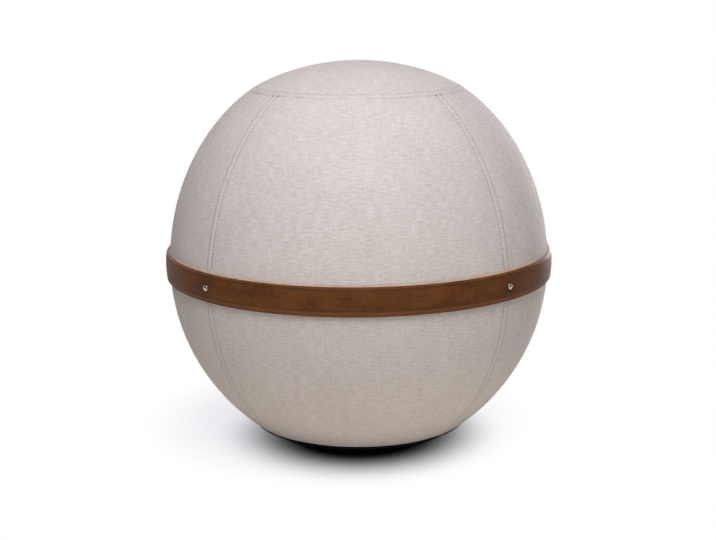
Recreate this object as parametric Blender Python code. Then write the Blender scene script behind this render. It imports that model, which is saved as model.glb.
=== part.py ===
"""A sitting ball: an air-filled bladder in a sewn fabric cover on a weighted base, with a carrying strap.

Metres, +Z up. The origin is on the floor under the middle of the ball, and the front panel faces -Y.
"""

import math

import bmesh
import bpy
from mathutils import Vector

MM = 0.001
FULL_TURN = 2 * math.pi

# Cover: side panels between a flat base and a domed cap
BALL_RADIUS = 275 * MM  # fabric at the equator
SIDE_ARC_RADIUS = 300 * MM  # the curve of a side panel from base to cap
CAP_SEAM_RADIUS = 148 * MM
CAP_RISE = 36 * MM  # the crown above the cap seam
BASE_SEAM_RADIUS = 157 * MM
FABRIC_THICKNESS = 1.6 * MM
SEAM_TAPE_WIDTH = 24 * MM
SEAM_TAPE_THICKNESS = 1.0 * MM
CLEARANCE = 0.3 * MM  # between pieces that touch

# Base band and base panel
BASE_INSET = 7 * MM  # the band behind the base seam
BAND_THICKNESS = 1.6 * MM
BASE_PANEL_THICKNESS = 1.8 * MM
BASE_PANEL_EDGE = 1.0 * MM

# Zip in the back of the base band
ZIP_LENGTH = 300 * MM
COIL_WIDTH = 2.0 * MM
COIL_DEPTH = 1.6 * MM
COIL_GAP = 1.4 * MM
STOP_LENGTH = 3 * MM
STOP_INSET = 5 * MM  # from the end of the zip to the middle of a stop
SLIDER_LENGTH = 11 * MM
SLIDER_WIDTH = 8.2 * MM  # at the shoulders
SLIDER_TAIL_WIDTH = 7.2 * MM
SLIDER_INNER_WIDTH = 5.8 * MM
SLIDER_PLATE = 1.2 * MM
SLIDER_LIP = 0.8 * MM
SLIDER_WEDGE = 0.8 * MM
SLIDER_RUNNING = 0.4 * MM
SLIDER_MARGIN = 0.9 * MM  # from the slider's sides to the base panel and to the band's turned edge
SLIDER_PARK = 0.6 * MM  # between the slider and its stop
BRIDGE_LENGTH = 8 * MM
BRIDGE_WIDTH = 2.4 * MM
BRIDGE_BAR = 1.1 * MM
BRIDGE_WINDOW = 2.6 * MM
BRIDGE_SINK = 0.3 * MM
PULL_LENGTH = 20 * MM
PULL_WIDTH = 7 * MM
PULL_THICKNESS = 1.2 * MM
PULL_BAR = 1.4 * MM
PULL_SLOT_ROOM = 0.6 * MM  # between the pull's slot and the bridge
PULL_HOLE_RADIUS = 1.5 * MM

# Ballast ring and its pocket
RING_WIDTH = 52 * MM
RING_HEIGHT = 24 * MM
RING_BEVEL = 8 * MM
POCKET_THICKNESS = 1.2 * MM
POCKET_HEM = 8 * MM

# Bladder and valve
BLADDER_WALL = 1.2 * MM
VALVE_BORE_RADIUS = 4.6 * MM
VALVE_TUBE_WALL = 3.4 * MM
VALVE_TUBE_LENGTH = 18 * MM
VALVE_FLANGE_WIDTH = 11 * MM
VALVE_FLANGE_THICKNESS = 2 * MM
PLUG_LENGTH = 13 * MM
PLUG_TIP_TAPER = 0.9 * MM
PLUG_RIB = 0.2 * MM
PLUG_FLANGE_RADIUS = 7.2 * MM
PLUG_FLANGE_THICKNESS = 1.6 * MM
PLUG_NECK_RADIUS = 2.2 * MM
PLUG_KNOB_RADIUS = 4 * MM
PLUG_KNOB_HEIGHT = 5 * MM

# Strap round the equator
STRAP_WIDTH = 40 * MM
STRAP_THICKNESS = 2.8 * MM
STRAP_EDGE_BEVEL = 0.8 * MM
STRAP_END_CUT = 9 * MM  # the corners cut off the outer end
LINING_THICKNESS = 1.5 * MM
LINING_INSET = 1 * MM
LAP_COLUMNS = 2  # how far the strap's ends lap, in columns of the cover
RAMP_COLUMNS = 2  # over which the outer end climbs on the inner one

# Studs at the side seams
STUD_HEAD_RADIUS = 5 * MM
STUD_HEAD_HEIGHT = 4 * MM
STUD_RIM = 0.8 * MM
STUD_POST_RADIUS = 2 * MM
WASHER_RADIUS = 6 * MM
WASHER_THICKNESS = 1 * MM

# How finely the round pieces are divided
PANEL_NAMES = ("right", "back", "left", "front")
SEAM_NAMES = ("front_right", "back_right", "back_left", "front_left")
COLUMNS_PER_PANEL = 12
SIDE_ROWS = 8  # from the equator up to the cap seam, and as many down to the base seam
CAP_ROWS = 5
BLADDER_STRIDE = 2  # columns and rows of the cover to one of the bladder
BEND_STEPS = 4
BASE_STEP = math.radians(6)
ZIP_STEP = math.radians(4)
RING_STEPS = 24
SMALL_STEPS = 16
DOME_STEPS = 5
WELD = 0.001 * MM
SHARP_ANGLE = math.radians(35)

# Places worked out from the sizes above
PANEL_COUNT = len(PANEL_NAMES)
PANEL_TURN = FULL_TURN / PANEL_COUNT
FIRST_SEAM = -math.pi / 2 + PANEL_TURN / 2  # the seam on the right of the front panel
COLUMNS = PANEL_COUNT * COLUMNS_PER_PANEL
COLUMN_TURN = FULL_TURN / COLUMNS
SEAM_GAP_TURN = CLEARANCE / min(CAP_SEAM_RADIUS, BASE_SEAM_RADIUS)
BAND_FOOT_Z = BASE_PANEL_THICKNESS + CLEARANCE
BASE_HEIGHT = BAND_FOOT_Z + SLIDER_WIDTH + 2 * SLIDER_MARGIN + BAND_THICKNESS + CLEARANCE
BAND_TOP_Z = BASE_HEIGHT - CLEARANCE
ZIP_Z = (BAND_FOOT_Z + BAND_TOP_Z - BAND_THICKNESS) / 2
BASE_RADIUS = BASE_SEAM_RADIUS - BASE_INSET
BAND_INNER_RADIUS = BASE_RADIUS - BAND_THICKNESS
ARC_CENTRE = BALL_RADIUS - SIDE_ARC_RADIUS
BASE_ANGLE = -math.acos((BASE_SEAM_RADIUS - ARC_CENTRE) / SIDE_ARC_RADIUS)
CAP_ANGLE = math.acos((CAP_SEAM_RADIUS - ARC_CENTRE) / SIDE_ARC_RADIUS)
EQUATOR_Z = BASE_HEIGHT - SIDE_ARC_RADIUS * math.sin(BASE_ANGLE)
CAP_SEAM_Z = EQUATOR_Z + SIDE_ARC_RADIUS * math.sin(CAP_ANGLE)
CAP_ARC_RADIUS = (CAP_SEAM_RADIUS**2 + CAP_RISE**2) / (2 * CAP_RISE)
CAP_CENTRE_Z = CAP_SEAM_Z + CAP_RISE - CAP_ARC_RADIUS
CAP_TILT = math.asin(CAP_SEAM_RADIUS / CAP_ARC_RADIUS)
CAP_SEAM = 2 * SIDE_ROWS  # the corner of the cover's outline at the cap seam
CROWN = CAP_SEAM + CAP_ROWS  # and the one at the crown
TAPE_DEPTH = FABRIC_THICKNESS + CLEARANCE
ROW_TURN = max(CAP_ANGLE, -BASE_ANGLE) / SIDE_ROWS
# A flat washer behind the corner where four facets meet stands off by this much.
WASHER_STANDOFF = WASHER_RADIUS * math.hypot(math.tan(COLUMN_TURN / 2), math.tan(ROW_TURN / 2))
WASHER_INNER_DEPTH = FABRIC_THICKNESS + CLEARANCE + WASHER_STANDOFF + WASHER_THICKNESS
BLADDER_DEPTH = max(WASHER_INNER_DEPTH, TAPE_DEPTH + SEAM_TAPE_THICKNESS) + CLEARANCE
LINING_INNER_RADIUS = BALL_RADIUS + CLEARANCE
STRAP_INNER_RADIUS = LINING_INNER_RADIUS + LINING_THICKNESS + CLEARANCE
STRAP_OUTER_RADIUS = STRAP_INNER_RADIUS + STRAP_THICKNESS
LAP_LIFT = STRAP_THICKNESS + CLEARANCE
LAP_SEAM = SEAM_NAMES.index("back_right")
POCKET_OUTER_RADIUS = BAND_INNER_RADIUS - CLEARANCE
RING_OUTER_RADIUS = POCKET_OUTER_RADIUS - POCKET_HEM - POCKET_THICKNESS - CLEARANCE
RING_TOP_Z = BAND_FOOT_Z + RING_HEIGHT
BLADDER_FLOOR_Z = RING_TOP_Z + CLEARANCE + POCKET_THICKNESS + CLEARANCE
VALVE_TUBE_RADIUS = VALVE_BORE_RADIUS + VALVE_TUBE_WALL
ZIP_HALF_TURN = ZIP_LENGTH / 2 / BASE_RADIUS
ZIP_MIDDLE = math.pi / 2  # the back
COIL_OUTER_RADIUS = BASE_RADIUS + COIL_DEPTH
SLIDER_TO_END = STOP_INSET + STOP_LENGTH / 2 + SLIDER_PARK + SLIDER_LENGTH / 2
SLIDER_AZIMUTH = ZIP_MIDDLE + ZIP_HALF_TURN - SLIDER_TO_END / BASE_RADIUS
SLIDER_PLATE_RADIUS = COIL_OUTER_RADIUS + SLIDER_RUNNING
SLIDER_FACE_RADIUS = SLIDER_PLATE_RADIUS + SLIDER_PLATE
PULL_AXIS_RADIUS = SLIDER_FACE_RADIUS + BRIDGE_WINDOW / 2


def finish(name, colour, roughness, metallic=0.0):
    """A plain finish; the colour is linear red, green and blue."""
    material = bpy.data.materials.new(name)
    material.use_nodes = True
    shader = material.node_tree.nodes["Principled BSDF"]
    shader.inputs["Base Color"].default_value = (*colour, 1.0)
    shader.inputs["Roughness"].default_value = roughness
    shader.inputs["Metallic"].default_value = metallic
    return material


def polar(radius, azimuth, height):
    return Vector((radius * math.cos(azimuth), radius * math.sin(azimuth), height))


def seam_azimuth(number):
    return FIRST_SEAM + number * PANEL_TURN


def flat_radius(corner_radius, azimuth):
    """How far from Z the flat side of a ring with the cover's columns lies at an azimuth."""
    past_corner = (azimuth - FIRST_SEAM) % COLUMN_TURN
    return corner_radius * math.cos(COLUMN_TURN / 2) / math.cos(past_corner - COLUMN_TURN / 2)


def left_of(start, end):
    """The unit normal on the left of a line from start to end."""
    along = (end - start).normalized()
    return Vector((-along.y, along.x))


def offset_line(line, distance):
    """A chain of (radius, height) points moved to its left, with mitred corners."""
    normals = [left_of(start, end) for start, end in zip(line, line[1:])]
    moved = []
    for i, point in enumerate(line):
        before = normals[max(i - 1, 0)]
        after = normals[min(i, len(normals) - 1)]
        if point.x < WELD:
            after = Vector((-before.x, before.y))
        mitre = (before + after) / (1 + before.dot(after))
        moved.append(point + mitre * distance)
    return moved


def place_from(line, corner, distance):
    """The place a distance on from a corner, as a corner number and a fraction; negative goes back."""
    step = 1 if distance > 0 else -1
    return corner + distance / (line[corner + step] - line[corner]).length


def point_at(line, place):
    corner = min(int(place), len(line) - 2)
    return line[corner].lerp(line[corner + 1], place - corner)


def stretch(line, low, high):
    """The part of a chain between two places."""
    between = range(math.floor(low) + 1, math.ceil(high))
    return [point_at(line, low), *(line[i] for i in between), point_at(line, high)]


def cover_line():
    """The outside of the cover from the base seam over the equator and the cap seam to the crown."""
    angles = [BASE_ANGLE * (1 - i / SIDE_ROWS) for i in range(SIDE_ROWS)]
    angles += [CAP_ANGLE * i / SIDE_ROWS for i in range(SIDE_ROWS + 1)]
    line = []
    for angle in angles:
        radius = ARC_CENTRE + SIDE_ARC_RADIUS * math.cos(angle)
        line.append(Vector((radius, EQUATOR_Z + SIDE_ARC_RADIUS * math.sin(angle))))
    for i in range(1, CAP_ROWS + 1):
        tilt = CAP_TILT * (1 - i / CAP_ROWS)
        line.append(Vector((CAP_ARC_RADIUS * math.sin(tilt), CAP_CENTRE_Z + CAP_ARC_RADIUS * math.cos(tilt))))
    return line


COVER_LINE = cover_line()


def cover_layer(depth, thickness, low, high):
    """The closed section of a layer that lies a depth inside the cover, between two places on its outline."""
    outside = stretch(offset_line(COVER_LINE, depth), low, high)
    inside = stretch(offset_line(COVER_LINE, depth + thickness), low, high)
    return outside + inside[::-1]


def add_object(name, bm, material):
    bmesh.ops.remove_doubles(bm, verts=bm.verts, dist=WELD)
    bmesh.ops.recalc_face_normals(bm, faces=bm.faces)
    mesh = bpy.data.meshes.new(name)
    bm.to_mesh(mesh)
    bm.free()
    mesh.materials.append(material)
    mesh.shade_smooth()
    mesh.set_sharp_from_angle(angle=SHARP_ANGLE)
    item = bpy.data.objects.new(name, mesh)
    bpy.context.scene.collection.objects.link(item)
    return item


def turned(name, section, material, steps=COLUMNS):
    """A closed section of (radius, height) points turned right round Z."""
    bm = bmesh.new()
    corners = [bm.verts.new(polar(point[0], FIRST_SEAM, point[1])) for point in section]
    edges = []
    for start, end in zip(range(len(section)), [*range(1, len(section)), 0]):
        on_axis = section[start][0] < WELD and section[end][0] < WELD
        if not on_axis:
            edges.append(bm.edges.new((corners[start], corners[end])))
    bmesh.ops.spin(
        bm, geom=corners + edges, axis=(0, 0, 1), cent=(0, 0, 0), angle=FULL_TURN, steps=steps, use_merge=True
    )
    return add_object(name, bm, material)


def turned_part(name, section, start, turn, steps, material):
    """A closed section of (radius, height) points turned through part of a circle."""
    bm = bmesh.new()
    corners = [bm.verts.new(polar(point[0], start, point[1])) for point in section]
    face = bm.faces.new(corners)
    bmesh.ops.spin(
        bm, geom=[face, *face.edges, *corners], axis=(0, 0, 1), cent=(0, 0, 0), angle=turn, steps=steps
    )
    return add_object(name, bm, material)


def lofted(name, sections, material):
    """Sections with as many points each, joined one to the next and closed at both ends."""
    bm = bmesh.new()
    rings = [[bm.verts.new(point) for point in section] for section in sections]
    for near, far in zip(rings, rings[1:]):
        for i in range(len(near)):
            bm.faces.new((near[i - 1], near[i], far[i], far[i - 1]))
    bm.faces.new(rings[0])
    bm.faces.new(rings[-1])
    return add_object(name, bm, material)


def combine(item, operation, other):
    """Joins another object to an object, or cuts it from it; a collection cuts with all it holds."""
    modifier = item.modifiers.new(other.name, "BOOLEAN")
    modifier.operation = operation
    if isinstance(other, bpy.types.Collection):
        modifier.operand_type = "COLLECTION"
        modifier.collection = other
    else:
        modifier.object = other


def as_helper(item):
    item.hide_render = True
    item.display_type = "WIRE"
    return item


def face_outwards(item, azimuth, radius):
    """Places an object made along +Z on the equator, pointing away from Z."""
    item.location = polar(radius, azimuth, EQUATOR_Z)
    item.rotation_euler = polar(1, azimuth, 0).to_track_quat("Z", "Y").to_euler()


def stud_holes(name, radius):
    """A cutter through the strap and the cover at each side seam."""
    holes = bpy.data.collections.new(name)
    bpy.context.scene.collection.children.link(holes)
    depth = BLADDER_DEPTH + STRAP_OUTER_RADIUS - BALL_RADIUS + 2 * LAP_LIFT
    section = [(0, -depth), (radius, -depth), (radius, depth), (0, depth)]
    for number, seam in enumerate(SEAM_NAMES):
        cutter = as_helper(turned(f"{name}_{seam}", section, COVER_FABRIC, SMALL_STEPS))
        face_outwards(cutter, seam_azimuth(number), BALL_RADIUS)
        bpy.context.scene.collection.objects.unlink(cutter)
        holes.objects.link(cutter)
    return holes


def make_cover(post_holes, washer_holes):
    """The cap, the side panels and the tapes behind their seams."""
    half_gap = CLEARANCE / 2
    panel_end = place_from(COVER_LINE, CAP_SEAM, -half_gap)
    cap_start = place_from(COVER_LINE, CAP_SEAM, half_gap)
    turned("top_cap", cover_layer(0, FABRIC_THICKNESS, cap_start, CROWN), COVER_FABRIC)
    panel_section = cover_layer(0, FABRIC_THICKNESS, 0, panel_end)
    panel_turn = PANEL_TURN - SEAM_GAP_TURN
    for number, side in enumerate(PANEL_NAMES):
        start = seam_azimuth(number) + SEAM_GAP_TURN / 2
        panel = turned_part(
            f"side_panel_{side}", panel_section, start, panel_turn, COLUMNS_PER_PANEL, COVER_FABRIC
        )
        combine(panel, "DIFFERENCE", post_holes)

    half_width = SEAM_TAPE_WIDTH / 2
    ring_low = place_from(COVER_LINE, CAP_SEAM, -half_width)
    ring_high = place_from(COVER_LINE, CAP_SEAM, half_width)
    turned("cap_seam_tape", cover_layer(TAPE_DEPTH, SEAM_TAPE_THICKNESS, ring_low, ring_high), TAPE_WEBBING)

    tape_low = place_from(COVER_LINE, 0, half_width)
    tape_high = place_from(COVER_LINE, CAP_SEAM, -half_width - CLEARANCE)
    outside = stretch(offset_line(COVER_LINE, TAPE_DEPTH), tape_low, tape_high)
    inside = stretch(offset_line(COVER_LINE, TAPE_DEPTH + SEAM_TAPE_THICKNESS), tape_low, tape_high)
    for number, seam in enumerate(SEAM_NAMES):
        sections = [tape_section(seam_azimuth(number), *points) for points in zip(outside, inside)]
        tape = lofted(f"seam_tape_{seam}", sections, TAPE_WEBBING)
        combine(tape, "DIFFERENCE", washer_holes)


def tape_section(azimuth, outer, inner):
    """Across a seam tape, which is folded at the seam to lie on the panels' flats."""
    section = []
    for point, sides in ((outer, (-1, 0, 1)), (inner, (1, 0, -1))):
        turn = SEAM_TAPE_WIDTH / 2 / point.x
        for side in sides:
            at = azimuth + side * turn
            section.append(polar(flat_radius(point.x, at), at, point.y))
    return section


def make_base():
    """The base panel and the band that joins it to the side panels, which leaves the back to the zip."""
    section = [
        (0, 0),
        (BASE_RADIUS - BASE_PANEL_EDGE, 0),
        (BASE_RADIUS, BASE_PANEL_EDGE),
        (BASE_RADIUS, BASE_PANEL_THICKNESS),
        (0, BASE_PANEL_THICKNESS),
    ]
    turned("base_panel", section, BASE_FABRIC, round(FULL_TURN / BASE_STEP))

    foot = [(BAND_INNER_RADIUS, BAND_FOOT_Z), (BASE_RADIUS, BAND_FOOT_Z)]
    gap_turn = CLEARANCE / BASE_RADIUS
    start = ZIP_MIDDLE + ZIP_HALF_TURN + gap_turn
    turn = FULL_TURN - 2 * (ZIP_HALF_TURN + gap_turn)
    turned_part("base_band", foot + turned_edge(), start, turn, round(turn / BASE_STEP), BASE_FABRIC)


def turned_edge():
    """The band's top, turned out under the side panels, from its outside to its inside."""
    edge_radius = BASE_SEAM_RADIUS - CLEARANCE
    return [
        (BASE_RADIUS, BAND_TOP_Z - BAND_THICKNESS),
        (edge_radius, BAND_TOP_Z - BAND_THICKNESS),
        (edge_radius, BAND_TOP_Z),
        (BAND_INNER_RADIUS, BAND_TOP_Z),
    ]


def coil_line(side):
    """Round a zip coil, from the tape's inner edge to where coil and tape meet; side is 1 above, -1 below."""
    edge = COIL_GAP / 2
    heights = (edge, edge + COIL_WIDTH / 4, edge + COIL_WIDTH * 3 / 4, edge + COIL_WIDTH)
    radii = (BASE_RADIUS + COIL_DEPTH / 2, COIL_OUTER_RADIUS, COIL_OUTER_RADIUS, BASE_RADIUS + COIL_DEPTH / 2)
    round_coil = [(radius, ZIP_Z + side * height) for radius, height in zip(radii, heights)]
    tape_edge = (BAND_INNER_RADIUS, ZIP_Z + side * edge)
    return [tape_edge, *round_coil, (BASE_RADIUS, ZIP_Z + side * (edge + COIL_WIDTH))]


def make_zip():
    """Two tapes with a coil along each edge, the stops, the slider and its pull."""
    start = ZIP_MIDDLE - ZIP_HALF_TURN
    turn = 2 * ZIP_HALF_TURN
    steps = round(turn / ZIP_STEP)
    upper = coil_line(1) + turned_edge()
    lower = coil_line(-1) + [(BASE_RADIUS, BAND_FOOT_Z), (BAND_INNER_RADIUS, BAND_FOOT_Z)]
    turned_part("zip_tape_upper", upper, start, turn, steps, ZIP_NYLON)
    turned_part("zip_tape_lower", lower, start, turn, steps, ZIP_NYLON)

    stop_turn = ZIP_HALF_TURN - STOP_INSET / BASE_RADIUS
    for name, azimuth in (("top", ZIP_MIDDLE + stop_turn), ("bottom", ZIP_MIDDLE - stop_turn)):
        sections = [
            [on_zip(azimuth, along, *point) for point in stop_section()]
            for along in (-STOP_LENGTH / 2, STOP_LENGTH / 2)
        ]
        lofted(f"zip_{name}_stop", sections, ZIP_METAL)
    make_slider()
    make_pull()


def on_zip(azimuth, along, radius, height):
    """A point beside an azimuth of the zip: along its tangent, out from Z, and up from the zip's middle."""
    tangent = polar(along, azimuth + math.pi / 2, 0)
    return polar(radius, azimuth, ZIP_Z + height) + tangent


def stop_section():
    """A stop clamped over both coils, as (radius, height from the zip's middle)."""
    inner = COIL_OUTER_RADIUS + CLEARANCE
    outer = inner + SLIDER_PLATE
    lip_end = BASE_RADIUS + CLEARANCE
    room = COIL_GAP / 2 + COIL_WIDTH + CLEARANCE
    half = room + SLIDER_LIP
    upper = [(outer, half), (lip_end, half), (lip_end, room), (inner, room)]
    return upper + [(radius, -height) for radius, height in upper[::-1]]


def slider_section(width):
    """Across the slider: the outer plate with its lips, the wedge between the coils, and the inner plate."""
    half = width / 2
    lip_end = BASE_RADIUS + SLIDER_RUNNING
    inner_face = BAND_INNER_RADIUS - SLIDER_RUNNING
    upper = [
        (SLIDER_FACE_RADIUS, half),
        (lip_end, half),
        (lip_end, half - SLIDER_LIP),
        (SLIDER_PLATE_RADIUS, half - SLIDER_LIP),
        (SLIDER_PLATE_RADIUS, SLIDER_WEDGE / 2),
        (inner_face, SLIDER_WEDGE / 2),
        (inner_face, SLIDER_INNER_WIDTH / 2),
        (inner_face - SLIDER_PLATE, SLIDER_INNER_WIDTH / 2),
    ]
    return upper + [(radius, -height) for radius, height in upper[::-1]]


def make_slider():
    """The slider parked at the top stop, shoulders towards the stop, with the bridge that holds its pull."""
    half = SLIDER_LENGTH / 2
    widths = ((-half, SLIDER_TAIL_WIDTH), (0, SLIDER_TAIL_WIDTH), (half, SLIDER_WIDTH))
    sections = [
        [on_zip(SLIDER_AZIMUTH, along, *point) for point in slider_section(width)] for along, width in widths
    ]
    slider = lofted("zip_slider", sections, ZIP_METAL)

    outer = BRIDGE_LENGTH / 2
    inner = outer - BRIDGE_BAR
    foot = SLIDER_FACE_RADIUS - BRIDGE_SINK
    under = SLIDER_FACE_RADIUS + BRIDGE_WINDOW
    over = under + BRIDGE_BAR
    half_arch = [(outer, foot), (outer, under), (inner, over)]
    half_window = [(inner, foot), (inner, under)]
    arch = half_arch + [(-along, radius) for along, radius in half_arch[::-1]]
    arch += [(-along, radius) for along, radius in half_window] + half_window[::-1]
    sections = [
        [on_zip(SLIDER_AZIMUTH, along, radius, height) for along, radius in arch]
        for height in (-BRIDGE_WIDTH / 2, BRIDGE_WIDTH / 2)
    ]
    bridge = as_helper(lofted("slider_bridge", sections, ZIP_METAL))
    combine(slider, "UNION", bridge)


def make_pull():
    """A flat pull whose bar lies under the slider's bridge; its origin is on the bar."""
    slot_start = PULL_BAR / 2
    slot_end = BRIDGE_LENGTH / 2 + PULL_SLOT_ROOM
    half_slot = BRIDGE_WIDTH / 2 + PULL_SLOT_ROOM
    half_width = PULL_WIDTH / 2
    round_x = PULL_LENGTH - PULL_BAR / 2 - half_width
    outline = [(-PULL_BAR / 2, half_width), (-PULL_BAR / 2, -half_width)]
    for i in range(SMALL_STEPS // 2 + 1):
        angle = math.pi * (i / (SMALL_STEPS // 2) - 0.5)
        outline.append((round_x + half_width * math.cos(angle), half_width * math.sin(angle)))
    half_thickness = PULL_THICKNESS / 2
    sections = [[(x, side, z) for x, z in outline] for side in (-half_thickness, half_thickness)]
    pull = lofted("zip_pull", sections, ZIP_METAL)

    slot = [(slot_start, -half_slot), (slot_end, -half_slot), (slot_end, half_slot), (slot_start, half_slot)]
    hole = [
        (round_x + PULL_HOLE_RADIUS * math.cos(angle), PULL_HOLE_RADIUS * math.sin(angle))
        for angle in (FULL_TURN * i / SMALL_STEPS for i in range(SMALL_STEPS))
    ]
    for name, cut in (("pull_slot", slot), ("pull_hole", hole)):
        sections = [[(x, side, z) for x, z in cut] for side in (-PULL_THICKNESS, PULL_THICKNESS)]
        cutter = as_helper(lofted(name, sections, ZIP_METAL))
        cutter.parent = pull
        combine(pull, "DIFFERENCE", cutter)
    pull.location = polar(PULL_AXIS_RADIUS, SLIDER_AZIMUTH, ZIP_Z)
    pull.rotation_euler = (0, 0, SLIDER_AZIMUTH - math.pi / 2)


def make_ballast():
    """A filled ring on the base panel, and the pocket sewn over it."""
    inner = RING_OUTER_RADIUS - RING_WIDTH
    ring_line = [
        (inner, BAND_FOOT_Z),
        (inner, RING_TOP_Z - RING_BEVEL),
        (inner + RING_BEVEL, RING_TOP_Z),
        (RING_OUTER_RADIUS - RING_BEVEL, RING_TOP_Z),
        (RING_OUTER_RADIUS, RING_TOP_Z - RING_BEVEL),
        (RING_OUTER_RADIUS, BAND_FOOT_Z),
    ]
    turned("ballast_ring", ring_line, BALLAST, RING_STEPS)

    over_ring = offset_line([Vector(point) for point in ring_line], CLEARANCE)
    hem_inside = Vector((inner - POCKET_HEM, BAND_FOOT_Z))
    hem_outside = Vector((POCKET_OUTER_RADIUS, BAND_FOOT_Z))
    under = [hem_inside, *over_ring, hem_outside]
    over = offset_line(under, POCKET_THICKNESS)
    turned("ballast_pocket", under + over[::-1], BASE_FABRIC, RING_STEPS)


def make_bladder():
    """The inflated inner ball, pressed flat where it sits on the ballast, with a hole for its valve."""
    fitted = offset_line(COVER_LINE, BLADDER_DEPTH)
    numbers = [*range(BLADDER_STRIDE, CROWN, BLADDER_STRIDE), CROWN]
    upper = [fitted[i] for i in numbers]
    start = upper[0]
    along = (fitted[BLADDER_STRIDE] - fitted[BLADDER_STRIDE + 1]).normalized()
    corner = start + along * ((BLADDER_FLOOR_Z - start.y) / along.y)
    end = Vector((RING_OUTER_RADIUS - RING_BEVEL, BLADDER_FLOOR_Z))
    bend = []
    for i in range(BEND_STEPS):
        t = i / BEND_STEPS
        bend.append(end * (1 - t) ** 2 + corner * (2 * t * (1 - t)) + start * t**2)
    hole_edge = Vector((VALVE_TUBE_RADIUS + CLEARANCE, BLADDER_FLOOR_Z))
    outside = [hole_edge, *bend, *upper]
    inside = offset_line(outside, BLADDER_WALL)
    turned("bladder", outside + inside[::-1], BLADDER_RUBBER, COLUMNS // BLADDER_STRIDE)


def make_valve():
    """A seat welded into the bladder's floor, and the plug that closes its bore from below."""
    seat_floor = BLADDER_FLOOR_Z + BLADDER_WALL + CLEARANCE
    seat_top = BLADDER_FLOOR_Z + VALVE_TUBE_LENGTH
    flange_radius = VALVE_TUBE_RADIUS + VALVE_FLANGE_WIDTH
    seat = [
        (VALVE_BORE_RADIUS, BLADDER_FLOOR_Z),
        (VALVE_TUBE_RADIUS, BLADDER_FLOOR_Z),
        (VALVE_TUBE_RADIUS, seat_floor),
        (flange_radius, seat_floor),
        (flange_radius, seat_floor + VALVE_FLANGE_THICKNESS),
        (VALVE_TUBE_RADIUS, seat_floor + VALVE_FLANGE_THICKNESS),
        (VALVE_TUBE_RADIUS, seat_top),
        (VALVE_BORE_RADIUS, seat_top),
    ]
    turned("valve_seat", seat, VALVE_PLASTIC, SMALL_STEPS)

    stem = VALVE_BORE_RADIUS - CLEARANCE
    groove = stem - PLUG_RIB
    flange_top = -CLEARANCE
    flange_under = flange_top - PLUG_FLANGE_THICKNESS
    knob_under = flange_under - PLUG_KNOB_HEIGHT
    knob_shoulder = flange_under - PLUG_KNOB_HEIGHT / 2
    profile = [
        (0, knob_under),
        (PLUG_KNOB_RADIUS, knob_under),
        (PLUG_KNOB_RADIUS, knob_shoulder),
        (PLUG_NECK_RADIUS, knob_shoulder),
        (PLUG_NECK_RADIUS, flange_under),
        (PLUG_FLANGE_RADIUS, flange_under),
        (PLUG_FLANGE_RADIUS, flange_top),
        (stem, flange_top),
        (stem, PLUG_LENGTH / 4),
        (groove, PLUG_LENGTH / 3),
        (stem, PLUG_LENGTH / 2),
        (groove, PLUG_LENGTH * 2 / 3),
        (stem, PLUG_LENGTH * 3 / 4),
        (stem - PLUG_TIP_TAPER, PLUG_LENGTH),
        (0, PLUG_LENGTH),
    ]
    plug = turned("valve_plug", profile, VALVE_PLASTIC, SMALL_STEPS)
    plug.location = (0, 0, BLADDER_FLOOR_Z)


def strap_outline(half_width):
    """Across the strap as (height above its inner face, distance up), with the outer edges bevelled."""
    bevel = STRAP_EDGE_BEVEL
    return [
        (0, -half_width),
        (STRAP_THICKNESS - bevel, -half_width),
        (STRAP_THICKNESS, bevel - half_width),
        (STRAP_THICKNESS, half_width - bevel),
        (STRAP_THICKNESS - bevel, half_width),
        (0, half_width),
    ]


def on_strap(azimuth, radius, outline):
    """An outline set on the ball at an azimuth, with its inner face at a radius."""
    return [
        polar(flat_radius(radius + depth, azimuth), azimuth, EQUATOR_Z + height) for depth, height in outline
    ]


def make_strap(post_holes):
    """The strap, whose outer end laps over its inner end at a seam, and the lining behind it."""
    half_width = STRAP_WIDTH / 2
    start = seam_azimuth(LAP_SEAM) - LAP_COLUMNS / 2 * COLUMN_TURN
    last = COLUMNS + LAP_COLUMNS
    places = []
    for i in range(last + 1):
        climb = min(max((i - COLUMNS + RAMP_COLUMNS) / RAMP_COLUMNS, 0), 1)
        places.append((start + i * COLUMN_TURN, climb, half_width))
    end_azimuth, end_climb, _ = places[-1]
    cut_turn = STRAP_END_CUT / STRAP_OUTER_RADIUS
    places[-1:] = [
        (end_azimuth - cut_turn, end_climb, half_width),
        (end_azimuth, end_climb, half_width - STRAP_END_CUT),
    ]
    sections = [
        on_strap(azimuth, STRAP_INNER_RADIUS + climb * LAP_LIFT, strap_outline(half))
        for azimuth, climb, half in places
    ]
    strap = lofted("strap", sections, STRAP_LEATHER)
    combine(strap, "DIFFERENCE", post_holes)

    gap_turn = CLEARANCE / 2 / LINING_INNER_RADIUS
    azimuths = [start + i * COLUMN_TURN for i in range(COLUMNS + 1)]
    azimuths[0] += gap_turn
    azimuths[-1] -= gap_turn
    half_lining = half_width - LINING_INSET
    outline = [
        (0, -half_lining),
        (LINING_THICKNESS, -half_lining),
        (LINING_THICKNESS, half_lining),
        (0, half_lining),
    ]
    sections = [on_strap(azimuth, LINING_INNER_RADIUS, outline) for azimuth in azimuths]
    lining = lofted("strap_lining", sections, LINING_LEATHER)
    combine(lining, "DIFFERENCE", post_holes)


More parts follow.
